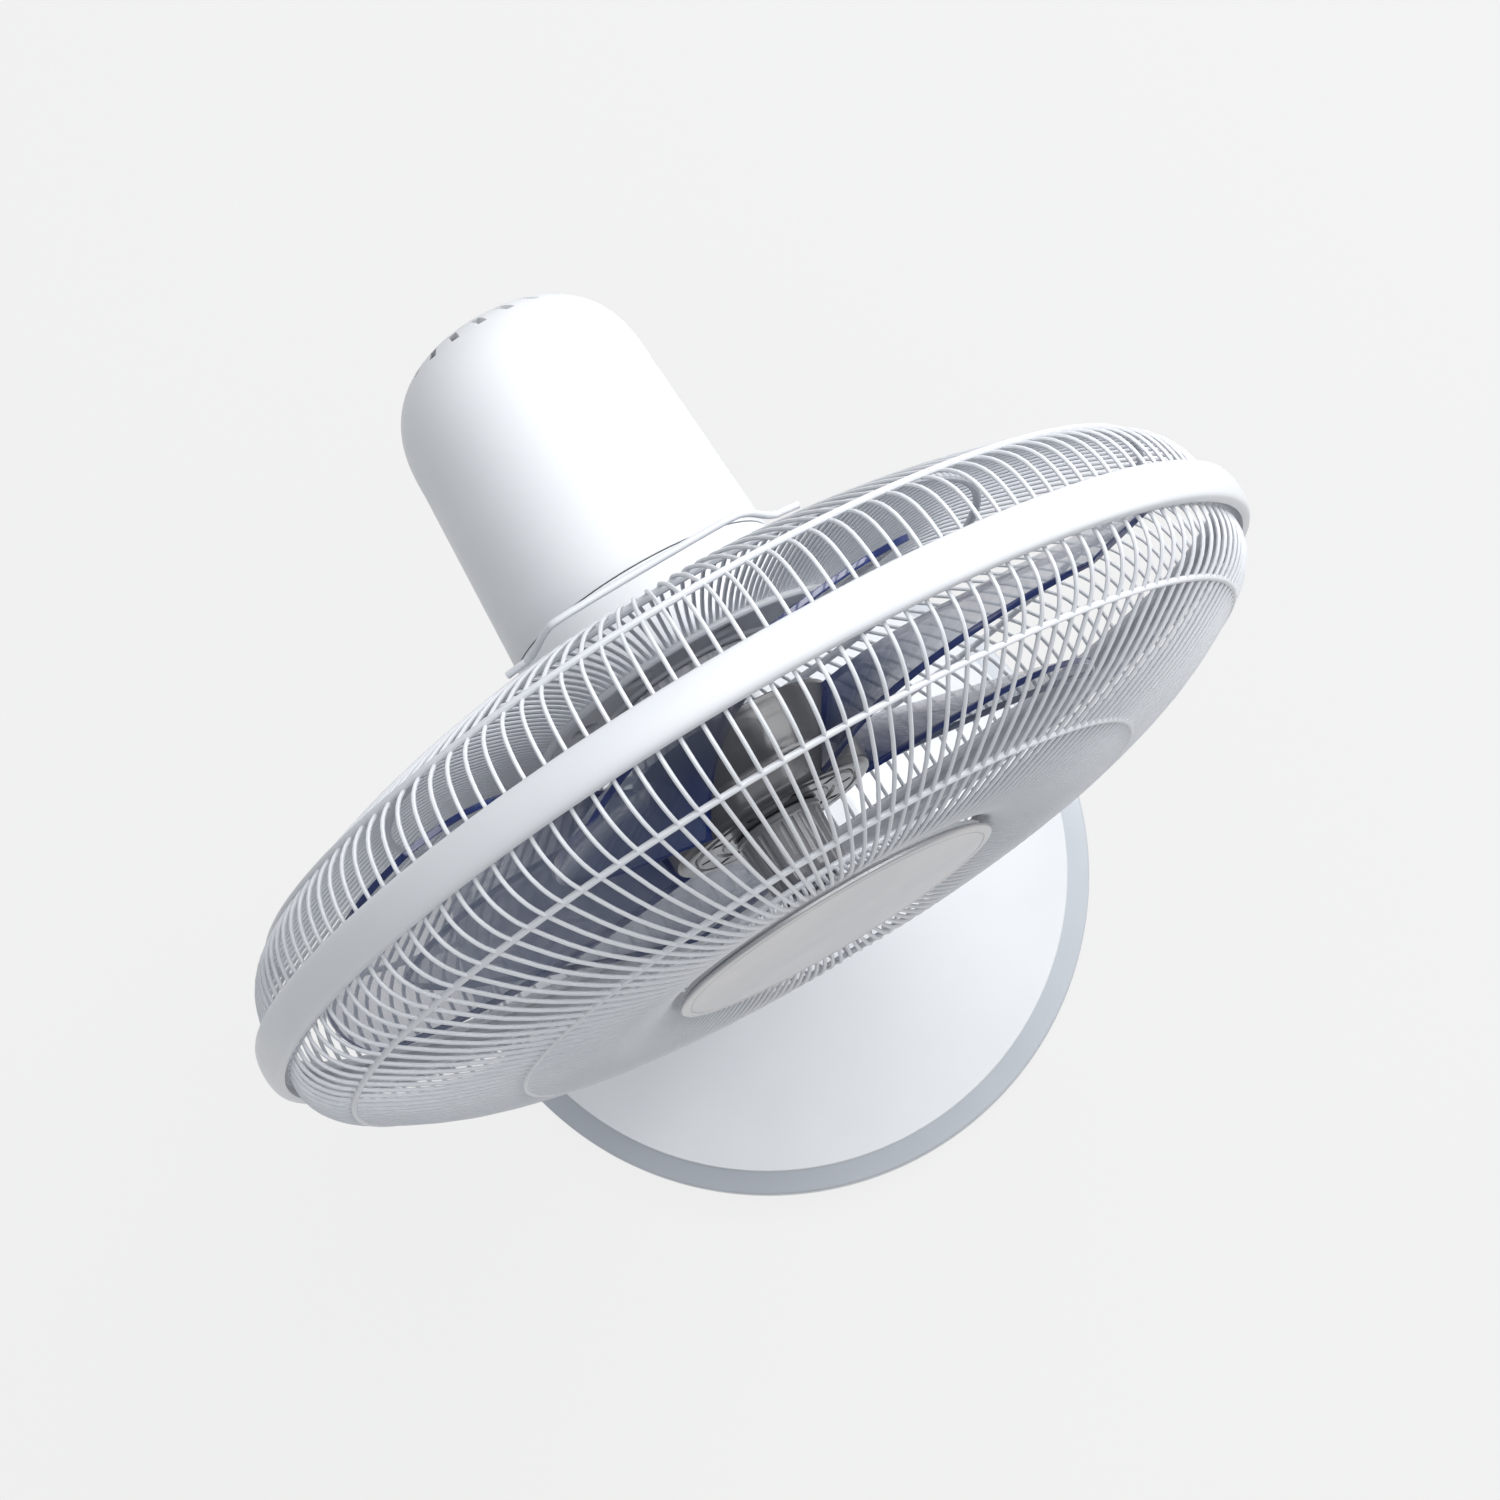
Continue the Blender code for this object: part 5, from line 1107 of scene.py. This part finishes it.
def makeKeys(silver, keyGrey, dark):
    last = len(keys["names"]) - 1
    reach = keys["height"] / 2 + keys["margin"]
    half, low, high = keys["panelWidth"] / 2, 0.0003, 0.0003 + keys["panelThick"]
    bm = newBlock((-half, -reach, low), (half, last * keys["pitch"] + reach, high))
    rounded(bm, edgesAlong(bm, 2), keys["panelCorner"], 8)
    rounded(bm, [e for e in bm.edges if min(v.co.z for v in e.verts) > high - 1e-6], keys["panelEdge"], 3)
    finishPiece("keyPanel", carved(onPanel(bm), keyWindows(keys["slide"])), silver, "base",
                ("key_panel",))
    face = low + keys["panelThick"] + keys["proud"]
    for k, name in enumerate(keys["names"]):
        up, wide, tall = k * keys["pitch"], keys["width"] / 2, keys["height"] / 2
        bm = newBlock((-wide, up - tall, -keys["depth"]), (wide, up + tall, face))
        bevelAll(bm, keys["edge"], 4)
        dished = face - keys["dish"]
        bend = face + keys["dishRadius"] - keys["dish"]
        bm = carved(bm, newCylinder(keys["dishRadius"], (-0.02, up, bend), (0.02, up, bend), 180))
        marks = bmesh.new()
        low, high = dished - keys["markSink"], dished + keys["markRise"]
        if name == "off":
            cylinder(marks, 0.0019, (0, up, low), (0, up, high), 32)
        elif name == "oscillate":
            for x in (-0.0045, -0.0015, 0.0015, 0.0045):
                tall = 0.0012 if abs(x) > 0.003 else 0.0007
                block(marks, (x - 0.0006, up - tall, low), (x + 0.0006, up + tall, high))
        else:                                     # a dot for each speed
            for j in range(k):
                x = (j - (k - 1) / 2) * 0.0032
                cylinder(marks, 0.0008, (x, up, low), (x, up, high), 20)
        for f in marks.faces:
            f.material_index = 1
        addTo(bm, marks)
        finishPiece(f"key{name.capitalize()}", onPanel(bm), (keyGrey, dark), f"key_{name}",
                    (f"key_{name}",))
    print("keys made")


# neck

fork = {"gap": 0.0240, "cheek": 0.009, "radius": 0.0175, "collar": 0.029, "collarHeight": 0.0115,
        "bore": 0.0043, "round": 0.0022, "post": 0.0082}
tiltArm = {"radius": 0.016, "clear": 0.0005, "flange": 0.0035, "edge": 0.0008}
knob = {"radius": 0.014, "length": 0.015, "lobes": 12, "cut": 0.0019}


def pinBore():
    return newCylinder(fork["bore"], (-0.05, hinge.y, hinge.z), (0.05, hinge.y, hinge.z), 48)


def makeNeck(white, zinc, grey):
    low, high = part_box("neck_yoke")
    rise = columnHigh + 0.0010
    top = rise + fork["collarHeight"]
    post = fork["post"]
    profile = [(0, low.z), (post - 0.003, low.z), (post - 0.003, low.z + 0.0033), (post, low.z + 0.0033),
               (post, rise), (fork["collar"] - 0.0010, rise), (fork["collar"] - 0.0003, rise + 0.0003),
               (fork["collar"], rise + 0.0010)]
    profile += arc((fork["collar"] - 0.0040, top - 0.0040), 0.0040, 0, 85, 8)
    profile += [(0, top)]
    bm = spun(profile, "Z", (0, neck.y, 0), 96, closed=False)
    half = fork["gap"] / 2
    for side in (-1, 1):
        near, far = sorted((side * half, side * (half + fork["cheek"])))
        cheek = newCylinder(fork["radius"], (near, hinge.y, hinge.z), (far, hinge.y, hinge.z), 72)
        for v in cheek.verts:                     # the lower half of the disc is drawn down into the collar
            if v.co.z < hinge.z - 0.0001:
                v.co.z = top - 0.004
        outside = side * (half + fork["cheek"])
        edges = [e for e in cheek.edges if all(abs(v.co.x - outside) < 1e-5 for v in e.verts)]
        rounded(cheek, edges, fork["round"], 5, clamp=True)
        bm = carved(bm, cheek, "UNION")
    finishPiece("neckYoke", carved(bm, pinBore()), white, "neck", ("neck_yoke",), sharp=35)

    low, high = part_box("tilt_pin")
    left, right = low.x, high.x
    flange = -half - fork["cheek"] - 0.0003
    profile = [(0, left), (0.0050, left), (0.0066, left + 0.0006), (0.0074, left + 0.0018), (0.0075, flange),
               (0.0040, flange), (0.0040, right - 0.0006), (0.0034, right), (0, right)]
    bm = spun(profile, "X", (0, hinge.y, hinge.z), 48, closed=False)
    slot = newBlock((left - 0.001, hinge.y - 0.0007, hinge.z - 0.01),
                    (left + 0.0011, hinge.y + 0.0007, hinge.z + 0.01))
    finishPiece("tiltPin", carved(bm, slot), zinc, "neck", ("tilt_pin",))

    low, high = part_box("tilt_knob")
    start, end, r = low.x, high.x, knob["radius"]
    profile = [(0.0043, start), (r * 0.62, start), (r * 0.68, start + 0.0030), (r - 0.0010, start + 0.0040),
               (r, start + 0.0050), (r, start + 0.0070), (r * 0.97, end - 0.0028)]
    profile += arc((r * 0.97 - 0.0026, end - 0.0026), 0.0026, 0, 82, 7)
    profile += [(r * 0.50, end - 0.0001), (r * 0.46, end - 0.0006), (0, end - 0.0006), (0, end - 0.0040),
                (0.0043, end - 0.0045)]
    bm = spun(profile, "X", (0, hinge.y, hinge.z), 96, closed=False)
    cuts = bmesh.new()
    for k in range(knob["lobes"]):
        a = math.tau * k / knob["lobes"]
        y, z = hinge.y + (r + 0.0006) * math.cos(a), hinge.z + (r + 0.0006) * math.sin(a)
        cylinder(cuts, knob["cut"], (start + 0.003, y, z), (end + 0.01, y, z), 20)
    finishPiece("tiltKnob", carved(bm, cuts), grey, "knob", ("tilt_knob",))

    low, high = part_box("tilt_arm")
    wide, r = fork["gap"] / 2 - tiltArm["clear"], tiltArm["radius"]
    arm = newCylinder(r, (-wide, hinge.y, hinge.z), (wide, hinge.y, hinge.z), 64)
    body = newBlock((-wide, hinge.y - r, hinge.z), (wide, hinge.y + r, high.z - 0.0025))
    seat = newBlock((low.x, low.y, high.z - tiltArm["flange"]), (high.x, high.y, high.z))
    bevelAll(seat, tiltArm["edge"], 2)
    arm = carved(carved(arm, body, "UNION"), seat, "UNION")
    finishPiece("tiltArm", carved(arm, pinBore()), white, "head", ("tilt_arm",))
    print("neck made")


def dressHidden(finish):
    # working pieces inside the casings keep their shape and get a finish each
    inside = {
        "zinc": ("column_screw_1", "column_screw_2", "column_screw_3", "motor_bolt_1", "motor_bolt_2",
                 "motor_front_plate", "motor_rear_plate", "oscillation_motor"),
        "steel": ("base_weight", "neck_clip", "oscillation_lever", "motor_shaft", "drive_pin"),
        "bronze": ("neck_bush", "front_bearing", "rear_bearing"),
        "copper": ("front_winding", "rear_winding"),
        "lamination": ("stator_core", "rotor_core"),
        "grey": ("column_floor", "oscillation_shelf", "switch_block"),
        "black": ("run_capacitor",),
        "key": ("oscillation_crank",),
    }
    for look, nodes in inside.items():
        for name in nodes:
            for place in frame["nodes"][name].material_slots:
                place.material = finish[look]


makeCamera()
makeStudio()
look = {
    "white": moulded("glossWhite"), "band": moulded("bandWhite"), "wire": moulded("wireWhite"),
    "grey": moulded("greyPlastic"), "key": moulded("keyGrey"), "black": moulded("blackPlastic"),
    "rubber": moulded("rubber"), "smoke": moulded("hubSmoke"), "spinner": moulded("spinnerSmoke"),
    # the rim finish is the base's white plastic darkened as painted shade
    "rim": moulded("rimPaintedShade"), "zinc": metal("zinc"), "steel": metal("steel"),
    "bronze": metal("bronze"), "lamination": metal("lamination", 0.0005), "copper": copperWire(),
    "silver": satinBadge(), "blade": smokyBlade(), "bladeEdge": bladeEdge(),
}
dressHidden(look)
makeBand(look["band"], look["zinc"])
makeCage("front", look["wire"])
makeCage("rear", look["wire"])
makeBadge(look["silver"], look["white"])
makeMount(look["wire"], look["white"])
makeHandle(look["wire"])
makeFrontCover(look["white"])
makeRearCover(look["white"], look["zinc"])
makeBlades(look["blade"], look["bladeEdge"], look["smoke"], look["spinner"])
makeBase(look["white"], look["rim"], look["grey"], look["rubber"])
makeColumn(look["white"])
makeKeys(look["silver"], look["key"], look["black"])
makeNeck(look["white"], look["zinc"], look["grey"])
